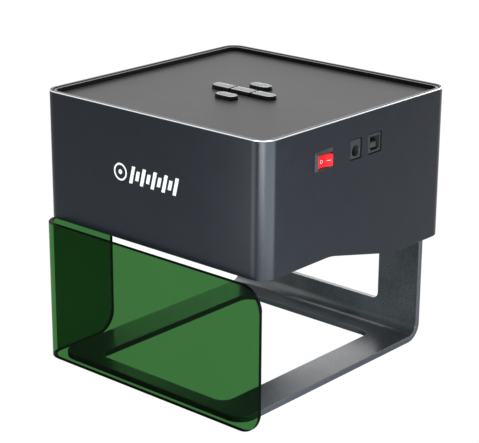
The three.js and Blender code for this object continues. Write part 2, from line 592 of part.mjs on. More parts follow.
// ---------------------------------------------------------------- shield
// A bent acrylic sheet that stands on the desk: a front panel and a short return along the left side.
function shieldSheet() {
  const { width, shift, front, thick, height, returnLength, bend, corner } = shield;
  const [left, right] = around(shift, width);
  const rear = front + returnLength;
  const plan = new THREE.Shape();
  plan.moveTo(right, front);
  plan.lineTo(right, front + thick);
  plan.lineTo(left + bend, front + thick);
  plan.absarc(left + bend, front + bend, bend - thick, -Math.PI / 2, Math.PI, true);
  plan.lineTo(left + thick, rear);
  plan.lineTo(left, rear);
  plan.lineTo(left, front + bend);
  plan.absarc(left + bend, front + bend, bend, Math.PI, 1.5 * Math.PI, false);
  plan.closePath();
  const sheet = alongZ(plan, [0, height], 5);
  // The free corners are rounded; each tool runs far past the bent end so that only the free end is shaped.
  const frontFace = roundedRectangle([left - 4 * corner, right], [0, height], corner);
  const sideFace = roundedRectangle([front - 4 * corner, rear], [0, height], corner);
  return overlap(overlap(sheet, alongY(frontFace, [front - 1, rear + 1])), alongX(sideFace, [left - 1, right + 1]));
}

add('shield', 'green', shieldSheet());

// ---------------------------------------------------------------- origin at the middle of the footprint
const rightEdge = shield.shift + shield.width / 2;
machine.position.set(-(rightEdge - head.width / 2) / 2, -(head.depth + shield.front) / 2, 0);

const group = new THREE.Group();
group.add(machine);

export default group;
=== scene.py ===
import math

import bmesh
import bpy
from mathutils import Matrix, Vector


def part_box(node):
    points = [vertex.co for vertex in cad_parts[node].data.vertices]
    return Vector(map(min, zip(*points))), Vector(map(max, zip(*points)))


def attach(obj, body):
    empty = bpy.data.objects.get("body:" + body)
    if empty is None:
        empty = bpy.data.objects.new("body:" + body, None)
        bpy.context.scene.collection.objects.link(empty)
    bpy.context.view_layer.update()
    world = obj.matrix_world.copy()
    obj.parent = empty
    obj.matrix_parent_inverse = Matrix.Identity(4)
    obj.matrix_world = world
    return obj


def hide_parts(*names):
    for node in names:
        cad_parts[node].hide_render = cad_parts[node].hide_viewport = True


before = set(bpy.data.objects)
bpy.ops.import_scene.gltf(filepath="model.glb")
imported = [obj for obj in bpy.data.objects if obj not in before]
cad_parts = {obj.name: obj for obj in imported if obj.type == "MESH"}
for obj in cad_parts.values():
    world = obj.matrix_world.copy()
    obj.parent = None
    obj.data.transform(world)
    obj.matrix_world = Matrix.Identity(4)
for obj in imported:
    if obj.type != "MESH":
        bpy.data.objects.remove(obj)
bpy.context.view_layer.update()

# Sizes are millimetres from the middle of the head's front wall, at desk level: x right, y to the rear, z up.
headLow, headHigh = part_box("head_sleeve")
origin = Vector(((headLow.x + headHigh.x) / 2, headLow.y, 0))
mm = 0.001
sharpAngle = math.radians(32)


def atPoint(x, y, z):
    return origin + Vector((x, y, z)) * mm


def atOrigin(x, y, z):
    return Vector((x, y, z)) * mm


def localBox(node):
    # The lowest corner, the highest corner and the middle of a node.
    low, high = ((corner - origin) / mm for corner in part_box(node))
    return low, high, [(a + b) / 2 for a, b in zip(low, high)]


def spans(low, high):
    return [(low[way], high[way]) for way in range(3)]


def around(middle, size):
    return (middle - size / 2, middle + size / 2)


def crossed(us, vs):
    return [(u, v) for u in us for v in vs]


# Node helpers

def addNode(tree, kind, sockets=None, **settings):
    node = tree.nodes.new(kind)
    for key, value in settings.items():
        setattr(node, key, value)
    feed(tree, node, sockets or {})
    return node


def feed(tree, node, sockets):
    for key, value in sockets.items():
        if isinstance(value, bpy.types.NodeSocket):
            tree.links.new(value, node.inputs[key])
        else:
            node.inputs[key].default_value = value


def newMaterial(name, sockets):
    material = bpy.data.materials.new(name)
    material.use_nodes = True
    shader = material.node_tree.nodes["Principled BSDF"]
    feed(material.node_tree, shader, sockets)
    return material, material.node_tree, shader


def maths(tree, operation, *values):
    return addNode(tree, "ShaderNodeMath", dict(enumerate(values)), operation=operation).outputs[0]


def onPiece(tree):
    return addNode(tree, "ShaderNodeTexCoord").outputs["Object"]


def noise(tree, place, scale, detail=2.0):
    return addNode(tree, "ShaderNodeTexNoise", {"Vector": place, "Scale": scale, "Detail": detail}).outputs["Fac"]


def ranged(tree, value, to, of=(0.0, 1.0)):
    return addNode(tree, "ShaderNodeMapRange", {"Value": value, "From Min": of[0], "From Max": of[1],
        "To Min": to[0], "To Max": to[1]}).outputs["Result"]


def twoTone(tree, value, stops, colours):
    ramp = addNode(tree, "ShaderNodeValToRGB", {"Fac": value})
    for element, stop, colour in zip(ramp.color_ramp.elements, stops, colours):
        element.position = stop
        element.color = (*(colour if isinstance(colour, tuple) else [colour] * 3), 1)
    return ramp.outputs["Color"]


def lifted(tree, height, distance, strength):
    return addNode(tree, "ShaderNodeBump", {"Height": height, "Distance": distance * mm,
        "Strength": strength}).outputs["Normal"]


def blended(tree, share, first, second):
    return addNode(tree, "ShaderNodeMixShader", {0: share, 1: first, 2: second}).outputs[0]


grained = {"patch": 25, "patchShare": 0.35, "tones": (0.32, 0.68), "roughOver": (0.3, 0.7), "strength": 0.6}


def grainyFinish(name, dark, light, grain, rough, bump, stretch=(1, 1, 1), **sockets):
    # Two layers of noise: a fine grain that also lifts the surface, and broad soft patches.
    material, tree, shader = newMaterial(name, sockets)
    place = onPiece(tree)
    drawn = addNode(tree, "ShaderNodeMapping", {"Vector": place, "Scale": stretch}).outputs[0]
    fine, broad = noise(tree, drawn, 1 / (grain * mm), 3.0), noise(tree, place, 1 / (grained["patch"] * mm))
    both = addNode(tree, "ShaderNodeMix", {0: grained["patchShare"], 2: fine, 3: broad}).outputs[0]
    feed(tree, shader, {"Base Color": twoTone(tree, both, grained["tones"], (dark, light)),
        "Roughness": ranged(tree, both, rough, grained["roughOver"]),
        "Normal": lifted(tree, fine, bump, grained["strength"])})
    return material


def newTree(name, inputs):
    tree = bpy.data.node_groups.new(name, "GeometryNodeTree")
    tree.interface.new_socket("Mesh", in_out="OUTPUT", socket_type="NodeSocketGeometry")
    for label, kind in inputs.items():
        tree.interface.new_socket(label, in_out="INPUT", socket_type="NodeSocket" + kind)
    return tree, addNode(tree, "NodeGroupInput").outputs


def endTree(tree, shape, finish):
    real = addNode(tree, "GeometryNodeRealizeInstances", {"Geometry": shape})
    painted = addNode(tree, "GeometryNodeSetMaterial", {"Geometry": real.outputs[0], "Material": finish})
    addNode(tree, "NodeGroupOutput", {"Mesh": painted.outputs[0]})
    return tree


def grow(name, tree, values):
    piece = linkObject(name, bpy.data.meshes.new(name))
    modifier = piece.modifiers.new(tree.name, "NODES")
    modifier.node_group = tree
    for item in tree.interface.items_tree:
        if item.in_out == "INPUT":
            modifier[item.identifier] = values[item.name]
    return settle(piece)


# Mesh helpers

def linkObject(name, mesh):
    piece = bpy.data.objects.new(name, mesh)
    bpy.context.scene.collection.objects.link(piece)
    return piece


def settle(piece):
    # Turns the piece with its modifiers into a plain mesh.
    graph = bpy.context.evaluated_depsgraph_get()
    mesh = bpy.data.meshes.new_from_object(piece.evaluated_get(graph), preserve_all_data_layers=True,
        depsgraph=graph)
    piece.modifiers.clear()
    piece.data = mesh
    mesh.name = piece.name
    return piece


def rounded(bounds, radii, inset=0.0, steps=8):
    # Outline of a rectangle with round corners, anticlockwise; radii start at the corner of the two high sides.
    u0, u1, v0, v1 = bounds[0] + inset, bounds[1] - inset, bounds[2] + inset, bounds[3] - inset
    radii = [max(radius - inset, 0.04) for radius in (radii if isinstance(radii, list) else [radii] * 4)]
    signs = ((u1, -1, v1, -1), (u0, 1, v1, -1), (u0, 1, v0, 1), (u1, -1, v0, 1))
    points = []
    for quarter, ((u, signU, v, signV), radius) in enumerate(zip(signs, radii)):
        for step in range(steps + 1):
            angle = math.radians(90 * (quarter + step / steps))
            points.append((u + signU * radius + radius * math.cos(angle),
                v + signV * radius + radius * math.sin(angle)))
    return points


def circle(radius, centre=(0, 0), sides=32):
    turns = [2 * math.pi * side / sides for side in range(sides)]
    return [(centre[0] + radius * math.cos(turn), centre[1] + radius * math.sin(turn)) for turn in turns]


def onAxis(axis, outline, level):
    way = "xyz".index(axis)
    return [(*point[:way], level, *point[way:]) for point in outline]


def loft(name, rings, finishes, bands=None, closed=False, capBand=0, place=atPoint):
    # Joins rings of equal point counts; bands gives the finish number of the strip above a ring.
    shape = bmesh.new()
    rows = [[shape.verts.new(place(*point)) for point in ring] for ring in rings]
    count = len(rings[0])
    for level, (lower, upper) in enumerate(zip(rows, rows[1:] + ([rows[0]] if closed else []))):
        for side in range(count):
            following = (side + 1) % count
            strip = shape.faces.new((lower[side], lower[following], upper[following], upper[side]))
            strip.material_index = (bands or {}).get(level, 0)
    if not closed:
        for row in (rows[0], rows[-1]):
            shape.faces.new(row).material_index = capBand
    return finishMesh(name, shape, finishes)


def finishMesh(name, shape, finishes):
    bmesh.ops.recalc_face_normals(shape, faces=shape.faces)
    mesh = bpy.data.meshes.new(name)
    shape.to_mesh(mesh)
    shape.free()
    for material in finishes:
        mesh.materials.append(material)
    shade(mesh)
    return linkObject(name, mesh)


def shade(mesh):
    mesh.shade_smooth()
    mesh.set_sharp_from_angle(angle=sharpAngle)


def prism(name, outline, span, finishes, axis="z", band=0):
    rings = [onAxis(axis, outline, level) for level in span]
    return loft(name, rings, finishes, {0: band}, capBand=band)


def turned(name, profile, finishes, axis="z", centre=(0, 0), sides=40, closed=False):
    # A part from the lathe: profile holds radius and level.
    return loft(name, [onAxis(axis, circle(radius, centre, sides), level) for radius, level in profile], finishes,
        closed=closed)


def carve(piece, cutters, operation="DIFFERENCE"):
    for cutter in cutters:
        modifier = piece.modifiers.new("cut", "BOOLEAN")
        modifier.operation = operation
        modifier.solver = "EXACT"
        modifier.object = cutter
    settle(piece)
    for cutter in cutters:
        bpy.data.objects.remove(cutter)
    shade(piece.data)
    return piece


def soften(piece, width, segments=2):
    modifier = piece.modifiers.new("soft edge", "BEVEL")
    modifier.width = width * mm
    modifier.segments = segments
    modifier.limit_method = "ANGLE"
    modifier.angle_limit = sharpAngle
    modifier.harden_normals = True
    modifier.use_clamp_overlap = True
    return settle(piece)


def gather(name, parts):
    with bpy.context.temp_override(active_object=parts[0], object=parts[0],
            selected_objects=parts, selected_editable_objects=parts):
        bpy.ops.object.join()
    parts[0].name = parts[0].data.name = name
    return parts[0]


def box(name, x, y, z, finish, edge=0.3, segments=2):
    piece = prism(name, [(x[0], y[0]), (x[1], y[0]), (x[1], y[1]), (x[0], y[1])], z, [finish])
    return soften(piece, edge, segments) if edge else piece


def bore(axis, radius, span, centre, sides=28):
    return turned("bore", [(radius, level) for level in span], [blackFinish], axis, centre, sides)


def install(piece, body, slot, *nodes):
    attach(piece, body)
    if nodes:
        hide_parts(*nodes)
    return piece


# Finishes: name, dark and light tone, grain in millimetres, roughness, lift of the grain in millimetres

sleeveFinish = grainyFinish("sleeveAnodised", (0.0058, 0.0080, 0.0122), (0.0078, 0.0106, 0.0156), 0.22,
    (0.25, 0.31), 0.010, IOR=1.45)
cutEdgeFinish = grainyFinish("brightCutEdge", (0.80, 0.82, 0.84), (0.92, 0.93, 0.94), 0.3, (0.16, 0.26), 0.004,
    stretch=(0.15, 0.15, 1), Metallic=1.0)
standFinish = grainyFinish("standSatinCoat", (0.030, 0.033, 0.038), (0.125, 0.133, 0.144), 0.55, (0.26, 0.40),
    0.055, Metallic=0.45, IOR=1.7, **{"Coat Weight": 0.5, "Coat Roughness": 0.2})
# Lighter finish on all the plate's edge faces: a painted highlight where light would catch its rounded edges.
standEdgeHighlightFinish = grainyFinish("standCutEdge", (0.060, 0.064, 0.074), (0.090, 0.096, 0.108), 0.3, (0.24, 0.34),
    0.012, Metallic=0.2, IOR=1.8)
panelFinish = grainyFinish("panelSatin", 0.020, 0.032, 0.3, (0.32, 0.40), 0.016, IOR=1.32)
lipFinish = grainyFinish("panelLip", (0.105, 0.105, 0.108), (0.130, 0.130, 0.134), 0.25, (0.28, 0.36), 0.006,
    IOR=1.5)
# The well's inner wall is near-black: painted shade in the recess under the lip.
wellWallShadeFinish = grainyFinish("panelWallBlack", 0.0006, 0.0014, 0.3, (0.6, 0.7), 0.01,
    **{"Specular IOR Level": 0.1})
keyTopFinish = grainyFinish("keySilver", (0.23, 0.235, 0.235), (0.31, 0.315, 0.315), 0.12, (0.22, 0.3), 0.004,
    Metallic=0.75)
keySideFinish = grainyFinish("keySideBlack", 0.0008, 0.0018, 0.3, (0.5, 0.6), 0.006,
    **{"Specular IOR Level": 0.12})
blackFinish = grainyFinish("mouldedBlack", (0.010, 0.010, 0.011), (0.019, 0.019, 0.020), 0.3, (0.42, 0.55), 0.012)
flangeFinish = grainyFinish("rockerFrameBlack", (0.010, 0.0105, 0.011), (0.016, 0.0165, 0.017), 0.3,
    (0.36, 0.46), 0.01, IOR=1.4)
# The red key's emission is a painted glow: the key lights itself though it holds no lamp.
redGlowFinish = grainyFinish("rockerRed", (0.86, 0.006, 0.008), (0.95, 0.009, 0.011), 2.0, (0.36, 0.44), 0.002,
    **{"Specular IOR Level": 0.14, "Emission Color": (1.0, 0.008, 0.010, 1), "Emission Strength": 0.45})
socketFinish = grainyFinish("socketPlastic", (0.016, 0.017, 0.0175), (0.024, 0.025, 0.0255), 0.3, (0.45, 0.55),
    0.01)
# The inside of the sockets and the rocker pocket is a lighter, greener copy of the socket plastic: painted light
# lifting the shade in the holes.
socketInnerLitFinish = grainyFinish("socketInside", (0.018, 0.020, 0.018), (0.025, 0.027, 0.025), 0.3, (0.5, 0.6),
    0.01)
tongueFinish = grainyFinish("tonguePlastic", (0.030, 0.028, 0.026), (0.042, 0.040, 0.037), 0.3, (0.45, 0.55), 0.01)
whiteFinish = grainyFinish("whitePrint", 0.86, 0.92, 0.1, (0.45, 0.55), 0.003)
rubberFinish = grainyFinish("footRubber", 0.012, 0.024, 0.4, (0.8, 0.95), 0.05)
screwFinish = grainyFinish("blackOxide", (0.012, 0.012, 0.013), (0.026, 0.026, 0.028), 0.2, (0.32, 0.45), 0.006,
    Metallic=0.7)
steelFinish = grainyFinish("groundSteel", (0.50, 0.51, 0.52), (0.62, 0.63, 0.64), 0.15, (0.16, 0.28), 0.003,
    Metallic=1.0)
frameFinish = grainyFinish("frameSheet", (0.046, 0.048, 0.052), (0.070, 0.073, 0.078), 0.4, (0.36, 0.5), 0.03,
    Metallic=0.5)
canFinish = grainyFinish("motorCan", (0.30, 0.30, 0.31), (0.42, 0.42, 0.43), 0.15, (0.26, 0.4), 0.005,
    stretch=(1, 0.1, 1), Metallic=1.0)
aluminiumFinish = grainyFinish("finAluminium", (0.075, 0.080, 0.086), (0.110, 0.116, 0.124), 0.25, (0.3, 0.42),
    0.012, stretch=(1, 1, 0.1), Metallic=0.9)
brassFinish = grainyFinish("turnedBrass", (0.52, 0.35, 0.12), (0.66, 0.46, 0.19), 0.1, (0.18, 0.3), 0.008,
    stretch=(0.2, 0.2, 1), Metallic=1.0)
blackMetalFinish = grainyFinish("blackAnodised", (0.020, 0.020, 0.022), (0.036, 0.036, 0.039), 0.2, (0.3, 0.42),
    0.01, Metallic=0.6)
chipFinish = grainyFinish("chipResin", (0.012, 0.012, 0.013), (0.020, 0.020, 0.021), 0.15, (0.5, 0.62), 0.01)

green = {"tints": ((0.200, 0.400, 0.200), (0.208, 0.408, 0.208)), "haze": 18.0, "mirror": (0.9, 1.0, 0.92, 1),
    "polish": 0.03, "steepness": 5.0, "gloss": (0.008, 0.55)}


def clearGreen():
    # Each of the sheet's two faces lets the root of its colour through and mirrors a little at a slant.
    material, tree, shader = newMaterial("greenAcrylic", {})
    tree.nodes.remove(shader)
    tint = twoTone(tree, noise(tree, onPiece(tree), green["haze"]), (0.3, 0.7), green["tints"])
    through = addNode(tree, "ShaderNodeBsdfTransparent", {"Color": tint})
    mirror = addNode(tree, "ShaderNodeBsdfGlossy", {"Color": green["mirror"], "Roughness": green["polish"]})
    facing = addNode(tree, "ShaderNodeLayerWeight", {"Blend": 0.5}).outputs["Facing"]
    slant = ranged(tree, maths(tree, "POWER", facing, green["steepness"]), green["gloss"])
    inside = addNode(tree, "ShaderNodeNewGeometry").outputs["Backfacing"]
    share = maths(tree, "MULTIPLY", slant, maths(tree, "SUBTRACT", 1.0, inside))
    mixed = blended(tree, share, through.outputs[0], mirror.outputs[0])
    feed(tree, tree.nodes["Material Output"], {"Surface": mixed})
    return material


boardLook = {"mask": (0.006, 0.060, 0.024, 1), "track": (0.012, 0.120, 0.046, 1), "gilt": (0.62, 0.44, 0.16, 1),
    "tracks": {"Scale": 220.0, "Mortar Size": 0.04, "Brick Width": 1.7, "Row Height": 0.42}, "dots": 300.0,
    "dotSize": 0.13}


def circuitBoardFinish():
    # Solder mask with tracks along both sides of the board, and gilded pads.
    material, tree, shader = newMaterial("circuitBoard",
        {"Roughness": 0.34, "Coat Weight": 0.25, "Coat Roughness": 0.12})
    place = onPiece(tree)
    masks = []
    for turn in (0, 90):
        laid = addNode(tree, "ShaderNodeMapping", {"Vector": place, "Rotation": (0, 0, math.radians(turn))})
        brick = addNode(tree, "ShaderNodeTexBrick", {"Vector": laid.outputs[0], **boardLook["tracks"]})
        masks.append(brick.outputs["Fac"])
    tracks = maths(tree, "MAXIMUM", *masks)
    mask = addNode(tree, "ShaderNodeMix", {0: tracks, 6: boardLook["mask"], 7: boardLook["track"]},
        data_type="RGBA")
    cells = addNode(tree, "ShaderNodeTexVoronoi", {"Vector": place, "Scale": boardLook["dots"]})
    dot = maths(tree, "LESS_THAN", cells.outputs["Distance"], boardLook["dotSize"])
    painted = addNode(tree, "ShaderNodeMix", {0: dot, 6: mask.outputs[2], 7: boardLook["gilt"]}, data_type="RGBA")
    feed(tree, shader, {"Base Color": painted.outputs[2], "Metallic": dot, "Normal": lifted(tree, tracks, 0.05, 0.5)})
    return material


def lensGlass():
    # Clear glass with a faint blue coating and a few fine streaks.
    material, tree, shader = newMaterial("coatedGlass", {"Base Color": (0.72, 0.84, 0.95, 1), "IOR": 1.5,
        "Transmission Weight": 1.0, "Coat Weight": 0.4, "Coat Tint": (0.75, 0.78, 1.0, 1)})
    feed(tree, shader, {"Roughness": ranged(tree, noise(tree, onPiece(tree), 900.0), (0.01, 0.05))})
    return material


acrylicFinish, boardFinish, glassFinish = clearGreen(), circuitBoardFinish(), lensGlass()
acrylicEdgeFinish = grainyFinish("acrylicEdge", (0.0003, 0.0008, 0.0004), (0.0006, 0.0015, 0.0007), 1.5,
    (0.3, 0.4), 0.004, **{"Specular IOR Level": 0.05})
print("finishes ready")

# Trees for what repeats

def spread(tree, unit, points, **more):
    # The unit's own mesh, laid on every point.
    shape = addNode(tree, "GeometryNodeObjectInfo", {"Object": unit}, transform_space="ORIGINAL")
    return addNode(tree, "GeometryNodeInstanceOnPoints",
        {"Points": points.outputs[0], "Instance": shape.outputs["Geometry"], **more}).outputs[0]


def rowsTree():
    # A unit set out in rows; Along and Across are the steps of the two directions.
    tree, given = newTree("rows of a unit", {"Unit": "Object", "Middle": "Vector", "Along": "Vector",
        "Across": "Vector", "Count Along": "Int", "Count Across": "Int", "Finish": "Material"})
    index = addNode(tree, "GeometryNodeInputIndex").outputs[0]
    column = maths(tree, "MODULO", index, given["Count Along"])
    row = maths(tree, "FLOOR", maths(tree, "DIVIDE", index, given["Count Along"]))
    spot = given["Middle"]
    for number, way in ((column, "Along"), (row, "Across")):
        half = maths(tree, "MULTIPLY_ADD", given["Count " + way], -0.5, 0.5)
        step = addNode(tree, "ShaderNodeVectorMath",
            {0: given[way], "Scale": maths(tree, "ADD", number, half)}, operation="SCALE")
        spot = addNode(tree, "ShaderNodeVectorMath", {0: step.outputs[0], 1: spot}, operation="ADD").outputs[0]
    total = maths(tree, "MULTIPLY", given["Count Along"], given["Count Across"])
    points = addNode(tree, "GeometryNodePoints", {"Count": total, "Position": spot})
    return endTree(tree, spread(tree, given["Unit"], points), given["Finish"])


def ringTree():
    # A unit, drawn about the upright axis, repeated round Centre.
    tree, given = newTree("ring of a unit",
        {"Unit": "Object", "Centre": "Vector", "Count": "Int", "Finish": "Material"})
    share = maths(tree, "DIVIDE", addNode(tree, "GeometryNodeInputIndex").outputs[0], given["Count"])
    turn = addNode(tree, "ShaderNodeCombineXYZ", {"Z": maths(tree, "MULTIPLY", share, 2 * math.pi)})
    points = addNode(tree, "GeometryNodePoints", {"Count": given["Count"], "Position": given["Centre"]})
    return endTree(tree, spread(tree, given["Unit"], points, Rotation=turn.outputs[0]), given["Finish"])


def threadTree():
    # A right-hand thread wound on a core, upright before Turn is applied.
    tree, given = newTree("wound thread", {"Length": "Float", "Radius": "Float", "Pitch": "Float",
        "Depth": "Float", "Start": "Vector", "Turn": "Vector", "Finish": "Material"})

    def swept(path, radius, sides):
        section = addNode(tree, "GeometryNodeCurvePrimitiveCircle", {"Resolution": sides, "Radius": radius})
        return addNode(tree, "GeometryNodeCurveToMesh", {"Curve": path.outputs[0],
            "Profile Curve": section.outputs[0], "Fill Caps": True}).outputs[0]

    rounds = maths(tree, "DIVIDE", given["Length"], given["Pitch"])
    crest = maths(tree, "MULTIPLY_ADD", given["Depth"], -0.5, given["Radius"])
    helix = addNode(tree, "GeometryNodeCurveSpiral", {"Resolution": 18, "Rotations": rounds, "Start Radius": crest,
        "End Radius": crest, "Height": given["Length"], "Reverse": True})
    wound = swept(helix, maths(tree, "MULTIPLY", given["Depth"], 0.5), 6)
    tip = addNode(tree, "ShaderNodeCombineXYZ", {"Z": given["Length"]})
    spine = addNode(tree, "GeometryNodeCurvePrimitiveLine", {"End": tip.outputs[0]})
    core = swept(spine, maths(tree, "SUBTRACT", given["Radius"], given["Depth"]), 24)
    both = addNode(tree, "GeometryNodeJoinGeometry", {"Geometry": wound})
    tree.links.new(core, both.inputs["Geometry"])
    laid = addNode(tree, "GeometryNodeTransform", {"Geometry": both.outputs[0], "Translation": given["Start"],
        "Rotation": given["Turn"]})
    return endTree(tree, laid.outputs[0], given["Finish"])


rows, ring, thread = rowsTree(), ringTree(), threadTree()


def setOut(name, tree, unit, values):
    piece = grow(name, tree, {"Unit": unit, **values})
    bpy.data.objects.remove(unit)
    return piece


def setInRows(name, unit, finish, along, across=(0, 0, 0), counts=(2, 1), middle=(0, 0, 0)):
    return setOut(name, rows, unit, {"Middle": atOrigin(*middle), "Along": atOrigin(*along),
        "Across": atOrigin(*across), "Count Along": counts[0], "Count Across": counts[1], "Finish": finish})


def setInRing(name, unit, finish, centre, count):
    return setOut(name, ring, unit, {"Centre": atPoint(*centre), "Count": count, "Finish": finish})


# Head shell

shell = {"corner": 9, "wall": 1.8, "brightCut": 0.42, "edge": 0.2, "steps": 16, "easeSteps": 8,
    "frontLow": 80.5, "slopeStart": 54, "slopeEnd": 110, "frontEase": 4, "rearEase": 6,
    "holeSpare": {"rocker_housing": -0.6, "power_jack": 0.4, "usb_socket": 0.4},  # its flange hides the first
    "screwX": 55, "screwZ": (98, 118), "sinkRadius": 3.05, "sinkDepth": 1.4, "holeRadius": 1.8}
shellLow, shellHigh, _ = localBox("head_sleeve")
shellPlan = (shellLow.x, shellHigh.x, shellLow.y, shellHigh.y)
screwSpots = crossed((-shell["screwX"], shell["screwX"]), shell["screwZ"])


def lowerEdgePoints():
    # The side walls' lower edge from front to rear, with both kinks of the slope eased.
    front, rear = shell["frontLow"], shellLow.z
    start, end, before, after = shell["slopeStart"], shell["slopeEnd"], shell["frontEase"], shell["rearEase"]
    slope = (rear - front) / (end - start)
    kinks = [((start - before, front), (start, front), (start + before, front + slope * before)),
        ((end - after, rear - slope * after), (end, rear), (end + after, rear))]
    points = []
    for kink in kinks:
        for step in range(shell["easeSteps"] + 1):
            t = step / shell["easeSteps"]
            points.append(tuple((1 - t) ** 2 * a + 2 * t * (1 - t) * b + t * t * c for a, b, c in zip(*kink)))
    return points


edgePoints = lowerEdgePoints()


def lowerEdge(y):
    if y <= edgePoints[0][0]:
        return edgePoints[0][1]
    for (y0, z0), (y1, z1) in zip(edgePoints, edgePoints[1:]):
        if y <= y1:
            return z0 + (z1 - z0) * (y - y0) / (y1 - y0)
    return edgePoints[-1][1]


def shellOutline(inset):
    # The plan outline, with extra points along both sides where the lower edge bends.
    rear = 2 * (shell["steps"] + 1)
    outline = rounded(shellPlan, shell["corner"], inset, shell["steps"])
    along = [y for y, _ in edgePoints]
    left, right = shellPlan[0] + inset, shellPlan[1] - inset
    return outline[:rear] + [(left, y) for y in reversed(along)] + outline[rear:] + [(right, y) for y in along]


def makeHeadShell():
    edge, top, bright, wall = shell["edge"], shellHigh.z, shell["brightCut"], shell["wall"]
    rings = []
    for inset, level, fromTop in ((edge, 0, False), (0, edge, False), (0, -bright, True), (bright, 0, True),
            (wall - edge, 0, True), (wall, -edge, True), (wall, edge, False), (wall - edge, 0, False)):
        rings.append([(x, y, top + level if fromTop else lowerEdge(y) + level) for x, y in shellOutline(inset)])
    body = loft("headShell", rings, [sleeveFinish, cutEdgeFinish], {2: 1}, closed=True)
    cutters = []
    for name, spare in shell["holeSpare"].items():
        low, high, _ = localBox(name)
        hole = rounded((low.y - spare, high.y + spare, low.z - spare, high.z + spare), 0.5, steps=4)
        cutters.append(prism("hole", hole, (shellPlan[1] - wall - 1, shellPlan[1] + 1), [sleeveFinish], "x"))
    rear, hole, sink = shellPlan[3], shell["holeRadius"], shell["sinkRadius"]
    for spot in screwSpots:
        profile = [(hole, rear - 6), (hole, rear - shell["sinkDepth"]), (sink, rear), (sink + 0.7, rear + 0.7)]
        cutters.append(turned("sink", profile, [sleeveFinish, cutEdgeFinish], "y", spot, 28))
    return carve(body, cutters)


install(makeHeadShell(), "machine", "sleeve_metal", "head_sleeve")
print("head shell ready")

# Top panel

panel = {"corner": 6.9, "lip": 1.7, "edge": 0.35, "fillet": 0.35, "floor": 149.9, "thick": 2,
    "bands": {5: 2, 6: 2, 7: 2, 8: 1, 9: 1, 10: 1, 11: 1},  # 2 is the lip and 1 the wall inside it, near-black as painted shade in the well
    "slotSpare": 0.3, "postRadius": 2.5, "postX": 23, "postY": 18, "boardTop": 141.8}
keypad = {"middle": 75, "width": 7.6, "barLength": 44, "pillLength": 14, "pillOffset": 14.2}
panelLow, panelHigh, _ = localBox("top_panel")
postSpots = [(x, keypad["middle"] + y) for x, y in
    crossed((-panel["postX"], panel["postX"]), (-panel["postY"], panel["postY"]))]


def makeTopPanel():
    plan = (panelLow.x, panelHigh.x, panelLow.y, panelHigh.y)
    edge, lip, top, floor, fillet = panel["edge"], panel["lip"], panelHigh.z, panel["floor"], panel["fillet"]
    under = floor - panel["thick"]
    profile = [(lip + 0.5, under), (lip, under), (lip, panelLow.z), (0, panelLow.z), (0, top - edge),
        (edge * 0.3, top - edge * 0.3), (edge, top), (lip - edge, top), (lip - edge * 0.3, top - edge * 0.3),
        (lip, top - edge), (lip, floor + fillet), (lip + 0.1, floor + 0.1), (lip + fillet, floor),
        (lip + 2 * fillet, floor)]
    rings = [onAxis("z", rounded(plan, panel["corner"], inset, 10), level) for inset, level in profile]
    body = loft("topPanel", rings, [panelFinish, wellWallShadeFinish, lipFinish], panel["bands"])
    half = keypad["width"] / 2 + panel["slotSpare"]
    cutters = []
    for length, offset in ((keypad["barLength"], 0), (keypad["pillLength"], keypad["pillOffset"]),
            (keypad["pillLength"], -keypad["pillOffset"])):
        reach = length / 2 + panel["slotSpare"]
        middle = keypad["middle"] + offset
        outline = rounded((-reach, reach, middle - half, middle + half), half, steps=8)
        cutters.append(prism("slot", outline, (floor - 5, floor + 1), [panelFinish, wellWallShadeFinish], band=1))
    carve(body, cutters)
    radius = panel["postRadius"]
    profile = [(radius, panel["boardTop"]), (radius, under - 1.5), (radius + 1, under - 0.4),
        (radius + 1, under + 0.5)]
    posts = [turned("post", profile, [panelFinish], centre=spot, sides=24) for spot in postSpots]
    return carve(body, posts, "UNION")


install(makeTopPanel(), "machine", "panel_plastic", "top_panel")
print("top panel ready")

# The five keys

keyCap = {"silverFrom": 151.62, "silverRing": 5, "flangeLow": 146, "flangeTop": 147.5, "flangeReach": 0.9,
    "stemRadius": 1.7, "corner": 0.45, "crown": [(0.12, 0), (0.20, 0.22), (0.36, 0.42), (0.66, 0.58), (1.1, 0.68),
        (1.8, 0.76), (2.7, 0.82), (3.3, 0.84)]}
sides = ("left", "centre", "right", "back", "front")


def makeKey(side):
    low, high, (x, y, _) = localBox("button_" + side)
    half, silver, flangeLow = keypad["width"] / 2, keyCap["silverFrom"], keyCap["flangeLow"]
    square, full = keyCap["corner"], half - 0.001
    radii = {"left": [square, full, full, square], "right": [full, square, square, full],
        "centre": [square] * 4}.get(side, [full] * 4)
    lift = high.z - keyCap["crown"][-1][1]
    profile = [(0, flangeLow), (0, silver - 0.16), (0.05, silver - 0.06)]
    profile += [(inset, lift + rise) for inset, rise in keyCap["crown"]]
    rings = [onAxis("z", rounded((low.x, high.x, y - half, y + half), radii, inset, 9), level)
        for inset, level in profile]
    bands = {level: 1 for level in range(keyCap["silverRing"], len(rings))}
    cap = loft(side + "Key", rings, [keySideFinish, keyTopFinish], bands)
    max(cap.data.polygons, key=lambda face: face.center.z).material_index = 1
    flange = box("flange", around(x, high.x - low.x - 1), around(y, 2 * (half + keyCap["flangeReach"])),
        (flangeLow, keyCap["flangeTop"]), blackFinish, edge=0.2)
    radius = keyCap["stemRadius"]
    stem = turned("stem", [(radius - 0.3, low.z), (radius, low.z + 0.3), (radius, flangeLow + 0.5)], [blackFinish],
        centre=(x, y), sides=20)
    return carve(cap, [flange, stem], "UNION")


for side in sides:
    install(makeKey(side), "key_" + side, "key_silver", "button_" + side)
print("keys ready")

# Rocker switch

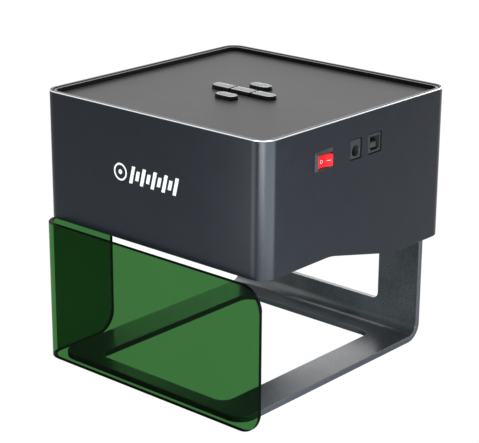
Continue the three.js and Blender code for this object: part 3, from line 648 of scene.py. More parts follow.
rocker = {"rim": 1.4, "slope": 1.5, "open": (11, 7), "pocket": 6, "body": (12.4, 8.6), "depth": 14,
    "blade": (4.2, 0.8, 4.2), "bladeGap": 3.6, "keyHalf": 4.7, "keyHeight": 6.4, "crest": 2.3, "rise": 0.75,
    "tilt": 12, "pivotDepth": 1, "ringRadius": 0.95, "stroke": 0.2, "dash": 2.2, "markPlace": 2.5}
rockerLow, rockerHigh, (_, rockerY, rockerZ) = localBox("rocker_housing")
wallFace = shellPlan[1]


def makeRockerFrame():
    rim, back = rocker["rim"], wallFace - rocker["depth"]
    flange = (rockerHigh.y - rockerLow.y, rockerHigh.z - rockerLow.z)
    levels = [(rocker["open"], 0, -rocker["pocket"]), (rocker["open"], 0, rim - 0.15), (rocker["open"], 0.1, rim),
        (flange, -2 * rocker["slope"], rim), (flange, 0, 0.15), (flange, 0, 0.02), (rocker["body"], 0, 0.02),
        (rocker["body"], 0, -rocker["depth"])]
    rings = [onAxis("x", rounded((*around(rockerY, size[0] + more), *around(rockerZ, size[1] + more)), 0.3, steps=4),
        wallFace + level) for size, more, level in levels]
    housing = loft("rockerFrame", rings, [flangeFinish, socketInnerLitFinish], {0: 1})
    length, thick, wide = rocker["blade"]
    blades = [box("blade", (back - length, back + 0.3), around(rockerY + offset, thick), around(rockerZ, wide),
        screwFinish, edge=0.15) for offset in (-rocker["bladeGap"], rocker["bladeGap"])]
    return gather("rockerFrame", [housing, *blades])


def rockerPlace(along, out, up):
    # The key is drawn level with its pivot at zero, and then leans with its rear end out.
    turn = math.radians(-rocker["tilt"])
    x = out * math.cos(turn) - along * math.sin(turn)
    y = out * math.sin(turn) + along * math.cos(turn)
    return atPoint(wallFace - rocker["pivotDepth"] + x, rockerY + y, rockerZ + up)


def dish(along, extra=0):
    # The key's face: a shallow dish between its two raised ends.
    return rocker["crest"] + rocker["rise"] * abs(along / rocker["keyHalf"]) ** 1.5 + extra


def makeRockerKey():
    half, height = rocker["keyHalf"], rocker["keyHeight"] / 2
    outline = [(share / 8 * half, dish(share / 8 * half)) for share in range(-8, 9)]
    outline += [(half - 0.3, -0.6), (2.2, -3.2), (-2.2, -3.2), (-half + 0.3, -0.6)]
    rings = []
    for level, shrink in ((-height, 0.35), (-height + 0.12, 0.1), (-height + 0.35, 0), (height - 0.35, 0),
            (height - 0.12, 0.1), (height, 0.35)):
        rings.append([(u * (1 - shrink / half), v - shrink * (0.6 if v > 0 else 0), level) for u, v in outline])
    return loft("rockerKey", rings, [redGlowFinish], place=rockerPlace)


def rockerMark(name, outer, inner, middle, lift=0.05, sink=-0.1):
    # A thin printed mark that follows the dish of the key.
    rings = [[(middle + u, dish(middle + u, extra), v) for u, v in outline]
        for outline, extra in ((outer, sink), (outer, lift), (inner, lift), (inner, sink))]
    return loft(name, rings, [whiteFinish], closed=True, place=rockerPlace)


def makeRockerMarks():
    radius, stroke, dash = rocker["ringRadius"], rocker["stroke"], rocker["dash"]
    zero = rockerMark("zero", circle(radius, sides=28), circle(radius - stroke, sides=28), -rocker["markPlace"])
    bar = [(u * dash / 2, v * stroke / 2) for u, v in ((1, 1), (-1, 1), (-1, -1), (1, -1))]
    line = rockerMark("line", bar, [(u * 0.02, v * 0.02) for u, v in bar], rocker["markPlace"])
    return gather("rockerMarks", [zero, line])


install(makeRockerFrame(), "machine", "black_plastic", "rocker_housing")
install(makeRockerKey(), "rocker", "red_key", "rocker_key")
install(makeRockerMarks(), "rocker", "red_key")
print("rocker ready")

# Power jack and data socket

socketSizes = {"jackHole": 2.95, "jackHoleZ": 133.2, "jackDepth": 9, "pinRadius": 1, "usbOpenY": 8.2,
    "usbOpenZ": 7.6, "usbMiddleZ": 134.2, "usbSlant": 1.4, "usbDepth": 9, "edge": 0.25, "contactGap": 1.25}
socketFinishes = [socketFinish, socketInnerLitFinish]


def socketBody(name, node):
    low, high, middle = localBox(node)
    plan, edge = (low.y, high.y, low.z, high.z), socketSizes["edge"]
    rings = [onAxis("x", rounded(plan, 0.4, inset, steps=4), level) for inset, level in
        ((0, low.x), (0, high.x - edge), (edge, high.x))]
    return loft(name, rings, socketFinishes), high.x, middle[1]


def makePowerSocket():
    body, face, middle = socketBody("powerSocket", "power_jack")
    radius, depth = socketSizes["jackHole"], socketSizes["jackDepth"]
    hole = turned("hole", [(radius, face - depth), (radius, face - 0.3), (radius + 0.6, face + 0.3)],
        socketFinishes, "x", (middle, socketSizes["jackHoleZ"]), 36)
    for polygon in hole.data.polygons:
        polygon.material_index = 1 if polygon.center.x < atPoint(face - 0.3, 0, 0).x else 0
    return carve(body, [hole])


def makePowerPin():
    low, high, (_, y, z) = localBox("jack_pin")
    radius, face, top = socketSizes["pinRadius"], high.x, socketSizes["jackHoleZ"] + socketSizes["jackHole"]
    pin = turned("powerPin", [(radius, low.x), (radius, face - 0.8), (radius * 0.93, face - 0.45),
        (radius * 0.7, face - 0.15), (radius * 0.3, face)], [steelFinish], "x", (y, z), 24)
    spring = box("spring", (low.x, face - 1.5), around(y, 2.4), (top - 0.5, top - 0.2), steelFinish, edge=0.08)
    return gather("powerPin", [pin, spring])


def makeDataSocket():
    body, face, middle = socketBody("dataSocket", "usb_socket")
    left, right = around(middle, socketSizes["usbOpenY"])
    base, top = around(socketSizes["usbMiddleZ"], socketSizes["usbOpenZ"])
    slant = socketSizes["usbSlant"]
    outline = [(left + slant, base), (right - slant, base), (right, base + slant), (right, top), (left, top),
        (left, base + slant)]
    return carve(body, [prism("pocket", outline, (face - socketSizes["usbDepth"], face + 1), socketFinishes, "x", 1)])


def makeDataTongue():
    low, high, (_, y, _) = localBox("usb_tongue")
    tongue = box("dataTongue", *spans(low, high), tongueFinish, edge=0.25)
    gap = socketSizes["contactGap"]
    contacts = [box("contact", (low.x + 0.5, high.x - 1.2), around(y + offset, 0.9), around(z, 0.3), steelFinish,
        edge=0.08) for offset, z in crossed((-gap, gap), (low.z - 0.05, high.z + 0.05))]
    return gather("dataTongue", [tongue, *contacts])


install(makePowerSocket(), "machine", "socket_plastic", "power_jack")
install(makePowerPin(), "machine", "bright_steel", "jack_pin")
install(makeDataSocket(), "machine", "socket_plastic", "usb_socket")
install(makeDataTongue(), "machine", "tongue_plastic", "usb_tongue")
print("sockets ready")

# Stand

stand = {"thick": 3.5, "bend": 10, "bendSteps": 18, "corner": 10, "cornerSteps": 12, "cut": (47.1, 6.7, 134.4),
    "cutCorner": 7, "window": (40, 18.6, 60), "windowCorner": 4, "edge": 0.4}
standLow, standHigh, _ = localBox("stand_plate")


def cornerWaste(u, v, signU, signV):
    # The waste outside a round corner.
    radius, steps = stand["corner"], stand["cornerSteps"]
    turns = [math.radians(90 * step / steps) for step in range(steps + 1)]
    arc = [(u - signU * radius * (1 - math.sin(turn)), v - signV * radius * (1 - math.cos(turn))) for turn in turns]
    farU, farV = u + 2 * signU, v + 2 * signV
    return arc + [(farU, v - signV * radius), (farU, farV), (u - signU * radius, farV)]


def makeStand():
    front, rear, low, top = standLow.y, standHigh.y, standLow.z, standHigh.z
    thick, bend, steps, finishes = stand["thick"], stand["bend"], stand["bendSteps"], [standFinish, standEdgeHighlightFinish]
    depths = {"z": (low - 2, low + thick + 2), "y": (rear - thick - 2, rear + 2)}

    def arc(radius):
        turns = [math.radians(90 * step / steps) for step in range(steps + 1)]
        return [(rear - bend + radius * math.sin(turn), low + bend - radius * math.cos(turn)) for turn in turns]

    def tool(outline, axis):
        return prism("tool", outline, depths[axis], finishes, axis, 1)

    profile = [(front, low), *arc(bend), (rear, top), (rear - thick, top), *arc(bend - thick)[::-1],
        (front, low + thick)]
    rings = [onAxis("x", profile, x) for x in (standLow.x, standHigh.x)]
    plate = loft("standPlate", rings, finishes, capBand=1)
    for polygon in plate.data.polygons:  # the front and top end faces are edges too, and get the painted edge highlight
        atFront = polygon.normal.y < -0.99 and polygon.center.y < atPoint(0, front + 1, 0).y
        if atFront or polygon.center.z > atPoint(0, 0, top - 1).z:
            polygon.material_index = 1
    tools = []
    for sign, x in ((-1, standLow.x), (1, standHigh.x)):
        tools += [tool(cornerWaste(x, front, sign, -1), "z"), tool(cornerWaste(x, top, sign, 1), "y")]
    for (half, start, end), corner, axis in ((stand["cut"], stand["cutCorner"], "z"),
            (stand["window"], stand["windowCorner"], "y")):
        tools.append(tool(rounded((-half, half, start, end), corner, steps=10), axis))
    tools += [tool(circle(shell["holeRadius"], spot, 24), "y") for spot in screwSpots]
    return soften(carve(plate, tools), stand["edge"], 3)


install(makeStand(), "machine", "stand_metal", "stand_plate")
print("stand ready")

# Shield

shield = {"thick": 2.5, "bend": 10, "bendSteps": 20, "corner": 12.5, "cornerSteps": 14, "edge": 0.3,
    "extraColumn": 0.25, "lead": 0.4}
shieldLow, shieldHigh, _ = localBox("shield")


def makeShield():
    left, right, front, rear = shieldLow.x, shieldHigh.x, shieldLow.y, shieldHigh.y
    base, top, radius, bend, thick = shieldLow.z, shieldHigh.z, shield["corner"], shield["bend"], shield["thick"]
    edge, steps, lead = shield["edge"], shield["cornerSteps"], bend + shield["lead"]

    def column(outer, inner, away=radius):
        # One upright of the sheet with chamfered rims; away is its distance from the free end.
        drop = 0 if away >= radius else radius - math.sqrt(max(radius ** 2 - (radius - away) ** 2, 0))
        across = Vector(inner) - Vector(outer)
        outerIn, innerIn = Vector(outer) + across * (edge / thick), Vector(inner) - across * (edge / thick)
        if away == 0:
            outer, inner = outerIn, innerIn
        low, high = base + drop, top - drop
        return [(*point, level) for point, level in ((outer, low + edge), (outerIn, low), (innerIn, low),
            (inner, low + edge), (inner, high - edge), (innerIn, high), (outerIn, high), (outer, high - edge))]

    aways = sorted([radius * (1 - math.cos(math.radians(90 * step / steps))) for step in range(steps + 1)]
        + [shield["extraColumn"]])
    columns = [column((right - away, front), (right - away, front + thick), away) for away in aways]
    columns.append(column((left + lead, front), (left + lead, front + thick)))
    for step in range(shield["bendSteps"] + 1):
        angle = math.radians(90 * step / shield["bendSteps"])
        columns.append(column(*((left + bend - reach * math.sin(angle), front + bend - reach * math.cos(angle))
            for reach in (bend, bend - thick))))
    columns.append(column((left, front + lead), (left + thick, front + lead)))
    columns += [column((left, rear - away), (left + thick, rear - away), away) for away in reversed(aways)]
    sheet = loft("greenShield", columns, [acrylicFinish, acrylicEdgeFinish], capBand=1)
    for polygon in sheet.data.polygons:  # all but the sheet's two broad sides belong to its rim
        if {index % len(columns[0]) for index in polygon.vertices} not in ({3, 4}, {7, 0}):
            polygon.material_index = 1
    return sheet


install(makeShield(), "shield", "green_acrylic", "shield")
print("shield ready")

# Feet and rear screws

foot = {"radius": 5, "x": 57.5, "front": 12, "rear": 128, "thick": 0.6}
rearScrew = {"head": 2.75, "headDepth": 1.4, "shank": 1.5, "from": 143.5, "hex": 1.25, "hexDepth": 0.9}


def makeFeet():
    radius, thick, front, rear = foot["radius"], foot["thick"], foot["front"], foot["rear"]
    unit = turned("pad", [(radius * 0.55, 0.12), (radius * 0.6, 0), (radius - 0.12, 0), (radius, 0.1),
        (radius, thick - 0.05), (radius - 0.1, thick)], [rubberFinish])
    return setInRows("footPads", unit, rubberFinish, (2 * foot["x"], 0, 0), (0, rear - front, 0), (2, 2),
        (0, (front + rear) / 2, 0))


def makeRearScrews():
    face, head, shank, start = shellPlan[3], rearScrew["head"], rearScrew["shank"], rearScrew["from"]
    unit = turned("screw", [(shank - 0.5, start), (shank, start + 0.5), (shank, face - rearScrew["headDepth"]),
        (head - 0.1, face - 0.08), (head - 0.25, face)], [screwFinish], "y", sides=32)
    hexagon = circle(rearScrew["hex"], sides=6)
    carve(unit, [prism("hex", hexagon, (face - rearScrew["hexDepth"], face + 1), [screwFinish], "y")])
    low, high = shell["screwZ"]
    return setInRows("rearScrews", unit, screwFinish, (2 * shell["screwX"], 0, 0), (0, 0, high - low), (2, 2),
        (0, 0, (low + high) / 2))


install(makeFeet(), "machine", "rubber_pad", "foot_pad_1", "foot_pad_2", "foot_pad_3", "foot_pad_4")
install(makeRearScrews(), "machine", "black_screw", "rear_screw_1", "rear_screw_2", "rear_screw_3", "rear_screw_4")
print("feet and screws ready")

# Keypad and control board

boards = {"switch": 6, "plunger": 1.7, "holeRadius": 1.3, "holeInset": 2.5, "pin": 0.35, "pinPitch": 0.9,
    "keypadChip": (5, 4, 1.1), "processor": (9, 9, 1.3), "driver": (5, 4, 1.1), "sink": 0.02}


def boardPlate(name, low, high, holes):
    plate = prism(name, rounded((low.x, high.x, low.y, high.y), 1.5, steps=5), (low.z, high.z), [boardFinish])
    carve(plate, [bore("z", boards["holeRadius"], (low.z - 1, high.z + 1), place, 20) for place in holes])
    return soften(plate, 0.12, 1)


def makeChip(x, y, z, size, name="chip"):
    # A resin body with a row of pins along both long sides.
    wide, deep, tall = size
    body = box(name, around(x, wide), around(y, deep), (z + 0.1, z + tall), chipFinish, edge=0.15)
    pitch = boards["pinPitch"]
    pin = box("pin", around(x, boards["pin"]), around(y, 0.7), (z, z + 0.25), steelFinish, 0.05, 1)
    return [body, setInRows(name + "Pins", pin, steelFinish, (pitch, 0, 0), (0, deep + 0.6, 0),
        (max(int(wide / pitch) - 1, 2), 2))]


def makeKeypadBoard():
    low, high, _ = localBox("keypad_board")
    top = high.z - boards["sink"]
    plate = boardPlate("keypadBoard", low, high, postSpots)
    resistor = box("resistor", around(-20, 1.6), around(high.y - 6, 0.8), (top, high.z + 0.5), chipFinish, edge=0.1)
    row = setInRows("resistors", resistor, chipFinish, (0, -2.4, 0), (2.4, 0, 0), (3, 2))
    plug = box("plug", around(0, 9), (low.y + 0.6, low.y + 3.6), (low.z - 1.2, low.z + 0.05), blackFinish, edge=0.2)
    return gather("keypadBoard", [plate, row, plug, *makeChip(18, high.y - 8, top, boards["keypadChip"])])


def makeKeySwitches():
    low, high, (x, y, _) = localBox("key_switch_centre")
    spots = {side: localBox("key_switch_" + side)[2] for side in sides}
    along, plunger = (spots["right"][0] - x, 0, 0), boards["plunger"]

    def switch():
        size = boards["switch"]
        case = box("switch", around(x, size), around(y, size), (low.z, high.z), blackFinish, 0.25)
        return carve(case, [bore("z", plunger + 0.35, (high.z - 0.9, high.z + 0.5), (x, y), 24)])

    bar = setInRows("barSwitches", switch(), blackFinish, along, counts=(3, 1))
    cross = setInRows("crossSwitches", switch(), blackFinish, (0, spots["back"][1] - spots["front"][1], 0))
    stub = turned("stub", [(plunger - 0.35, low.z + 0.6), (plunger - 0.2, high.z - 1.3),
        (plunger - 0.5, high.z - 1.1)], [steelFinish], centre=(x, y), sides=20)
    plungers = setInRows("plungers", stub, steelFinish, along, counts=(3, 1))
    return gather("keySwitches", [bar, cross, plungers])


def makeControlBoard():
    low, high, (x, _, _) = localBox("control_board")
    inset, top = boards["holeInset"], high.z - boards["sink"]
    plate = boardPlate("controlBoard", low, high,
        crossed((low.x + inset, high.x - inset), (low.y + inset, high.y - inset)))
    capacitor = turned("capacitor", [(1.6, top), (1.75, top + 0.3), (1.75, top + 3.4), (1.5, top + 3.7)], [canFinish],
        centre=(low.x + 3.5, 82), sides=24)
    return gather("controlBoard", [plate, *makeChip(x - 3, 62, top, boards["processor"], "processor"),
        *makeChip(x - 3, 100, top, boards["driver"], "driver"),
        setInRows("capacitors", capacitor, canFinish, (0, 4.6, 0), counts=(3, 1))])


install(makeKeypadBoard(), "machine", "circuit_board", "keypad_board")
install(makeKeySwitches(), "machine", "black_plastic", "key_switch_left", "key_switch_centre", "key_switch_right",
    "key_switch_back", "key_switch_front")
install(makeControlBoard(), "machine", "circuit_board", "control_board")
print("boards ready")

# Inner frame: rails, brackets, rods

innerFrame = {"rodRadius": 2.5, "chamfer": 0.5, "thick": 1.6, "slotLength": 14, "slotHeight": 5, "slotPitch": 30,
    "slotCount": 4, "window": 46, "windowInset": 7, "screwRadius": 2.2}
travel = {"spare": 0.3, "x": 66, "rodZ": 97, "screwZ": 113, "lowerZ": 103, "upperZ": 119, "leadZ": 111,
    "gantryRod": 2, "gantryScrew": 1.5, "bushWall": 0.7}


def makeRail(name, node, side):
    low, high, (_, _, z) = localBox(node)
    thick, middle = innerFrame["thick"], z - 3
    outer, inner = (low.x, low.x + thick) if side < 0 else (high.x, high.x - thick)
    shelf = high.x if side < 0 else low.x
    outline = [(outer, low.z), (outer, high.z), (shelf, high.z), (shelf, high.z - thick), (inner, high.z - thick),
        (inner, low.z)]
    body = prism(name, outline[::-1] if side < 0 else outline, (low.y, high.y), [frameFinish], "y")
    cutters = []
    for step in range(innerFrame["slotCount"]):
        along = around(low.y + 22 + step * innerFrame["slotPitch"], innerFrame["slotLength"])
        slot = rounded((*along, *around(middle, innerFrame["slotHeight"])), 2.4, steps=6)
        cutters.append(prism("slot", slot, (min(outer, inner) - 1, max(outer, inner) + 1), [frameFinish], "x"))
    return soften(carve(body, cutters), 0.25)


def makeBracket(name, node):
    low, high, _ = localBox(node)
    plate = box(name, *spans(low, high), frameFinish, edge=0)
    spare, span = travel["spare"], (low.y - 1, high.y + 1)
    half, inset = innerFrame["window"], innerFrame["windowInset"]
    window = rounded((-half, half, low.z + inset, high.z - inset), 4, steps=6)
    cutters = [prism("window", window, span, [frameFinish], "y")]
    isFront = low.y < 70
    holeSpan = (high.y - 3, high.y + 1) if isFront else (low.y - 1, low.y + 3)
    for radius, x, z in ((innerFrame["rodRadius"], -travel["x"], travel["rodZ"]),
            (innerFrame["rodRadius"], travel["x"], travel["rodZ"]),
            (innerFrame["screwRadius"], -travel["x"], travel["screwZ"])):
        cutters.append(bore("y", radius + spare, holeSpan, (x, z), 32))
    if not isFront:
        cutters += [bore("y", rearScrew["shank"] + spare, span, spot, 20) for spot in screwSpots]
    return soften(carve(plate, cutters), 0.3)


def roundBar(node, axis):
    # Both ends, the middle and the radius of a round node.
    low, high, middle = localBox(node)
    way = "xyz".index(axis)
    others = [other for other in range(3) if other != way]
    return low[way], high[way], [middle[other] for other in others], (high[others[0]] - low[others[0]]) / 2


def makeRod(name, node, axis):
    start, end, centre, radius = roundBar(node, axis)
    bevel = min(innerFrame["chamfer"], radius * 0.25)
    return turned(name, [(radius - bevel, start), (radius, start + bevel), (radius, end - bevel),
        (radius - bevel, end)], [steelFinish], axis, centre)


for sign, name in ((-1, "left"), (1, "right")):
    install(makeRail(name + "Rail", "rail_" + name, sign), "machine", "frame_sheet", "rail_" + name)
    install(makeRod(name + "Rod", "y_rod_" + name, "y"), "machine", "bright_steel", "y_rod_" + name)
for name in ("front", "rear"):
    install(makeBracket(name + "Bracket", name + "_bracket"), "machine", "frame_sheet", name + "_bracket")
for name in ("lower", "upper"):
    install(makeRod("gantryRod" + name.capitalize(), "x_rod_" + name, "x"), "gantry", "bright_steel", "x_rod_" + name)
print("inner frame ready")

# Motors and lead screws

motor = {"radius": 7, "flat": 5.6, "boss": 3, "bossLength": 0.8, "cap": 2.6, "edge": 0.6, "sides": 40}
leadScrew = {"pitch": 3, "depth": 0.45, "plain": 3}


def makeMotor(name, node, axis, bossHigh):
    low, high, centre, _ = roundBar(node, axis)
    shaft, back, away = (high, low, 1) if bossHigh else (low, high, -1)
    face, boss = shaft - away * motor["bossLength"], motor["boss"]
    edge, cap = away * motor["edge"], away * motor["cap"]
    rings = []
    for level, inset in ((face, 0.9), (face - edge, 0), (back + cap, 0), (back + cap, 0.4), (back + edge, 0.4),
            (back, 1.2)):
        flat = motor["flat"] - inset  # a circle with its top and bottom cut flat
        can = [(u, centre[1] + max(-flat, min(flat, v))) for u, v in
            ((centre[0] + x, y) for x, y in circle(motor["radius"] - inset, sides=motor["sides"]))]
        rings.append(onAxis(axis, can, level))
    body = loft(name, rings, [canFinish, blackFinish], {2: 1, 3: 1, 4: 1})
    hub = turned(name + "Boss", [(boss, face - away * 0.5), (boss, shaft - away * 0.15), (boss - 0.2, shaft)],
        [canFinish], axis, centre, 32)
    return gather(name, [body, hub])


def makeLeadScrew(name, node, axis):
    start, end, centre, radius = roundBar(node, axis)
    plain, depth = leadScrew["plain"], leadScrew["depth"]
    bare = radius - depth * 0.5
    first = onAxis(axis, [centre], start + plain)[0]
    wound = grow(name, thread, {"Length": (end - start - 2 * plain) * mm, "Radius": radius * mm,
        "Pitch": leadScrew["pitch"] * mm, "Depth": depth * mm, "Start": atPoint(*first),
        "Turn": (math.radians(-90), 0, 0) if axis == "y" else (0, math.radians(90), 0), "Finish": steelFinish})
    stubs = [turned(name + "Stub", [(bare - 0.3, a), (bare, a + 0.3), (bare, b)], [steelFinish], axis, centre, 32)
        for a, b in ((start, start + plain + 0.5), (end - plain - 0.5, end))]
    return gather(name, [wound, *stubs])


install(makeMotor("yMotor", "y_motor", "y", True), "machine", "motor_metal", "y_motor")
install(makeMotor("xMotor", "x_motor", "x", False), "gantry", "motor_metal", "x_motor")
for axis in ("y", "x"):
    install(makeLeadScrew(axis + "LeadScrew", axis + "_screw", axis), axis + "_lead_screw", "bright_steel",
        axis + "_screw")
print("motors and lead screws ready")

# Sliders and carriage block

sliding = {"leftDepth": 5.5, "rightDepth": 6, "shoeTop": 102.5, "shoeWall": 5.5, "leadHole": 2.5,
    "screwPitch": (19, 22)}
gantryHoles = ((travel["lowerZ"], travel["gantryRod"]), (travel["upperZ"], travel["gantryRod"]),
    (travel["leadZ"], travel["gantryScrew"]))


def bushing(axis, hole, outer, span, centre):
    low, high = span[0] + 0.1, span[1] - 0.1
    return turned("bushing", [(hole, low), (outer, low), (outer, high), (hole, high)], [brassFinish], axis,
        centre, 32, closed=True)


def makeSlider(name, node, side):
    # The left slider is a full block; the right one is a shoe on the rod under a thin wall.
    low, high, (_, middle, _) = localBox(node)
    spare, bushWall, x, whole = travel["spare"], travel["bushWall"], side * travel["x"], (low.y - 1, high.y + 1)
    places = [(travel["rodZ"], innerFrame["rodRadius"] + spare)]
    if side < 0:
        piece = box(name, *spans(low, high), blackFinish, edge=0)
        span = (high.x - sliding["leftDepth"], high.x + 1)
        places.append((travel["screwZ"], sliding["leadHole"]))
    else:
        wall, shoe = low.x + sliding["shoeWall"], sliding["shoeTop"]
        outline = [(low.x, low.z), (high.x, low.z), (high.x, shoe), (wall, shoe), (wall, high.z), (low.x, high.z)]
        piece = prism(name, outline, (low.y, high.y), [blackFinish], "y")
        span = (low.x - 1, low.x + sliding["rightDepth"])
    cutters = [bore("y", hole + bushWall, whole, (x, z), 36) for z, hole in places]
    cutters[1:1] = [bore("x", radius + spare, span, (middle, z)) for z, radius in gantryHoles]
    soften(carve(piece, cutters), 0.35)
    return gather(name, [piece, *(bushing("y", hole, hole + bushWall - 0.1, (low.y, high.y), (x, z))
        for z, hole in places)])


def makeCarriage():
    low, high, (_, _, middleZ) = localBox("carriage_block")
    y = localBox("x_rod_lower")[2][1]
    hole, span = travel["gantryRod"] + travel["spare"], (low.x - 1, high.x + 1)
    outer, levels = hole + travel["bushWall"], (travel["lowerZ"], travel["upperZ"])
    piece = box("carriageBlock", *spans(low, high), blackFinish, edge=0)
    cutters = [bore("x", outer, span, (y, z), 36) for z in levels]
    cutters.append(bore("x", travel["gantryScrew"] + travel["spare"], span, (y, travel["leadZ"]), 36))
    soften(carve(piece, cutters), 0.4)
    bushings = [bushing("x", hole, outer - 0.1, (low.x, high.x), (y, z)) for z in levels]
    head = turned("head", [(1.6, high.y - 1), (1.6, high.y - 0.25), (1.2, high.y + 0.01)], [screwFinish], "y",
        (0, middleZ), 24)
    across, up = sliding["screwPitch"]
    return gather("carriageBlock", [piece, *bushings,
        setInRows("carriageScrews", head, screwFinish, (across, 0, 0), (0, 0, up), (2, 2))])


for sign, name in ((-1, "left"), (1, "right")):
    install(makeSlider(name + "Slider", "slider_" + name, sign), "gantry", "black_plastic", "slider_" + name)
install(makeCarriage(), "carriage", "black_plastic", "carriage_block")
print("sliders and carriage ready")

# Laser module: finned body, barrel, lens, focus ring

laser = {"finDepth": 5, "finThick": 1.4, "finCount": 8, "edge": 0.3, "bore": 3.2, "barrel": 5.3, "grooves": 9,
    "groovePitch": 0.5, "grooveDepth": 0.18, "ringRadius": 8, "ribs": 36, "ribDepth": 0.5}


def makeHeatSink():
    low, high, (_, y, _) = localBox("laser_heatsink")
    depth, thick, height = laser["finDepth"], laser["finThick"], (low.z, high.z)
    parts = [box("heatSink", (low.x + depth, high.x - depth), (low.y, high.y), height, aluminiumFinish,
        laser["edge"])]
    pitch = (high.y - low.y - thick) / (laser["finCount"] - 1)
    for span in ((low.x, low.x + depth + 0.2), (high.x - depth - 0.2, high.x)):
        unit = box("fin", span, around(y, thick), height, aluminiumFinish, laser["edge"])
        parts.append(setInRows("fins", unit, aluminiumFinish, (0, pitch, 0), counts=(laser["finCount"], 1)))
    return gather("heatSink", parts)


def makeBarrel():
    low, high, (x, y, _) = localBox("lens_barrel")
    radius, inner = laser["barrel"], laser["bore"]
    profile = [(inner, low.z), (radius - 0.3, low.z), (radius, low.z + 0.3)]
    for step in range(laser["grooves"]):  # fine grooves for the focus thread
        level = low.z + 0.7 + step * laser["groovePitch"]
        profile += [(radius, level), (radius - laser["grooveDepth"], level + laser["groovePitch"] / 2)]
    profile += [(radius, high.z - 0.2), (radius - 0.2, high.z), (inner, high.z)]
    return turned("lensBarrel", profile, [brassFinish], "z", (x, y), 48, closed=True)


def makeLens():
    low, high, (x, y, middle) = localBox("laser_lens")
    radius, half = (high.x - low.x) / 2, (high.z - low.z) / 2
    profile = [(radius * 0.12, low.z), (radius * 0.45, low.z + half * 0.1), (radius * 0.75, low.z + half * 0.35),
        (radius, middle - half * 0.35), (radius, middle + half * 0.35), (radius * 0.75, high.z - half * 0.35),
        (radius * 0.45, high.z - half * 0.1), (radius * 0.12, high.z)]
    return turned("laserLens", profile, [glassFinish], centre=(x, y), sides=48)


def makeFocusRing():
    low, high, (x, y, _) = localBox("focus_ring")
    inner, crest, outer = laser["barrel"] + 0.3, laser["ringRadius"], laser["ringRadius"] - laser["ribDepth"]
    profile = [(inner, low.z), (outer - 0.2, low.z), (outer, low.z + 0.2), (outer, high.z - 0.2),
        (outer - 0.2, high.z), (inner, high.z)]
    body = turned("focusRing", profile, [blackMetalFinish], "z", (x, y), 72, closed=True)
    half = math.pi * outer / laser["ribs"] * 0.55
    outline = [(outer - 0.3, -half), (crest - 0.1, -half * 0.6), (crest, -half * 0.25), (crest, half * 0.25),
        (crest - 0.1, half * 0.6), (outer - 0.3, half)]
    rib = loft("rib", [onAxis("z", outline, level) for level in (low.z + 0.25, high.z - 0.25)], [blackMetalFinish],
        place=atOrigin)
    return gather("focusRing", [body, setInRing("focusRibs", rib, blackMetalFinish, (x, y, 0), laser["ribs"])])


install(makeHeatSink(), "carriage", "heatsink_aluminium", "laser_heatsink")
install(makeBarrel(), "carriage", "barrel_brass", "lens_barrel")
install(makeLens(), "carriage", "lens_glass", "laser_lens")
install(makeFocusRing(), "focus", "black_metal", "focus_ring")
print("laser module ready")

# Cooling fan

coolingFan = {"hole": 11.5, "hub": 4.6, "strut": 1.6, "strutThick": 1.2, "corner": 2.2, "screwHole": 1.5,
    "screwInset": 2.2, "blades": 7, "bladeReach": 10.9, "pitchIn": 46, "pitchOut": 30, "sections": 5, "walk": 4,
    "chord": (2.6, 0.5), "camber": 0.35, "sweep": 0.8}


def makeFanFrame():
    low, high, (x, y, _) = localBox("fan_frame")
    half, hub, wide = (high.x - low.x) / 2, coolingFan["hub"], coolingFan["strut"] / 2
    through = (low.z - 1, high.z + 1)
    plan = rounded((x - half, x + half, y - half, y + half), coolingFan["corner"], steps=6)
    body = prism("fanFrame", plan, (low.z, high.z), [blackFinish])
    cutters = [bore("z", coolingFan["hole"], through, (x, y), 64)]
    inset = half - coolingFan["screwInset"]
    for u, v in crossed((-1, 1), (-1, 1)):
        cutters.append(bore("z", coolingFan["screwHole"], through, (x + u * inset, y + v * inset), 20))
    soften(carve(body, cutters), 0.25)
    top, reach = low.z + coolingFan["strutThick"], coolingFan["hole"] + 0.4
    parts = [body]
    for angle in (45, 135, 225, 315):
        sine, cosine = math.sin(math.radians(angle)), math.cos(math.radians(angle))
        outline = [(x + u * cosine - v * sine, y + u * sine + v * cosine)
            for u, v in ((hub - 0.5, -wide), (reach, -wide), (reach, wide), (hub - 0.5, wide))]
        parts.append(soften(prism("strut", outline, (low.z, top), [blackFinish]), 0.2))
    parts.append(turned("cup", [(hub - 0.2, low.z), (hub, low.z + 0.2), (hub, top - 0.2), (hub - 0.2, top)],
        [blackFinish], centre=(x, y)))
    return gather("fanFrame", parts)


def bladeSection(share, middle):
    # A thin cambered outline, turned to its pitch; share runs from the hub to the tip.
    root, walk = coolingFan["hub"] - 0.6, coolingFan["walk"]
    radius = root + (coolingFan["bladeReach"] - coolingFan["hub"] + 0.6) * share
    pitch = math.radians(coolingFan["pitchIn"] + (coolingFan["pitchOut"] - coolingFan["pitchIn"]) * share)
    chord = coolingFan["chord"][0] + coolingFan["chord"][1] * share
    section = []
    for face in (1, -1):
        for step in range(-walk, walk + 1):
            along = face * step / walk
            thick = face * 0.3 * (1 - 0.65 * along ** 2) * (1 - 0.3 * share)
            u, v = along * chord, coolingFan["camber"] * (1 - along ** 2) + thick
            section.append((radius, u * math.cos(pitch) - v * math.sin(pitch) + coolingFan["sweep"] * share,
                middle + u * math.sin(pitch) + v * math.cos(pitch)))
    return section


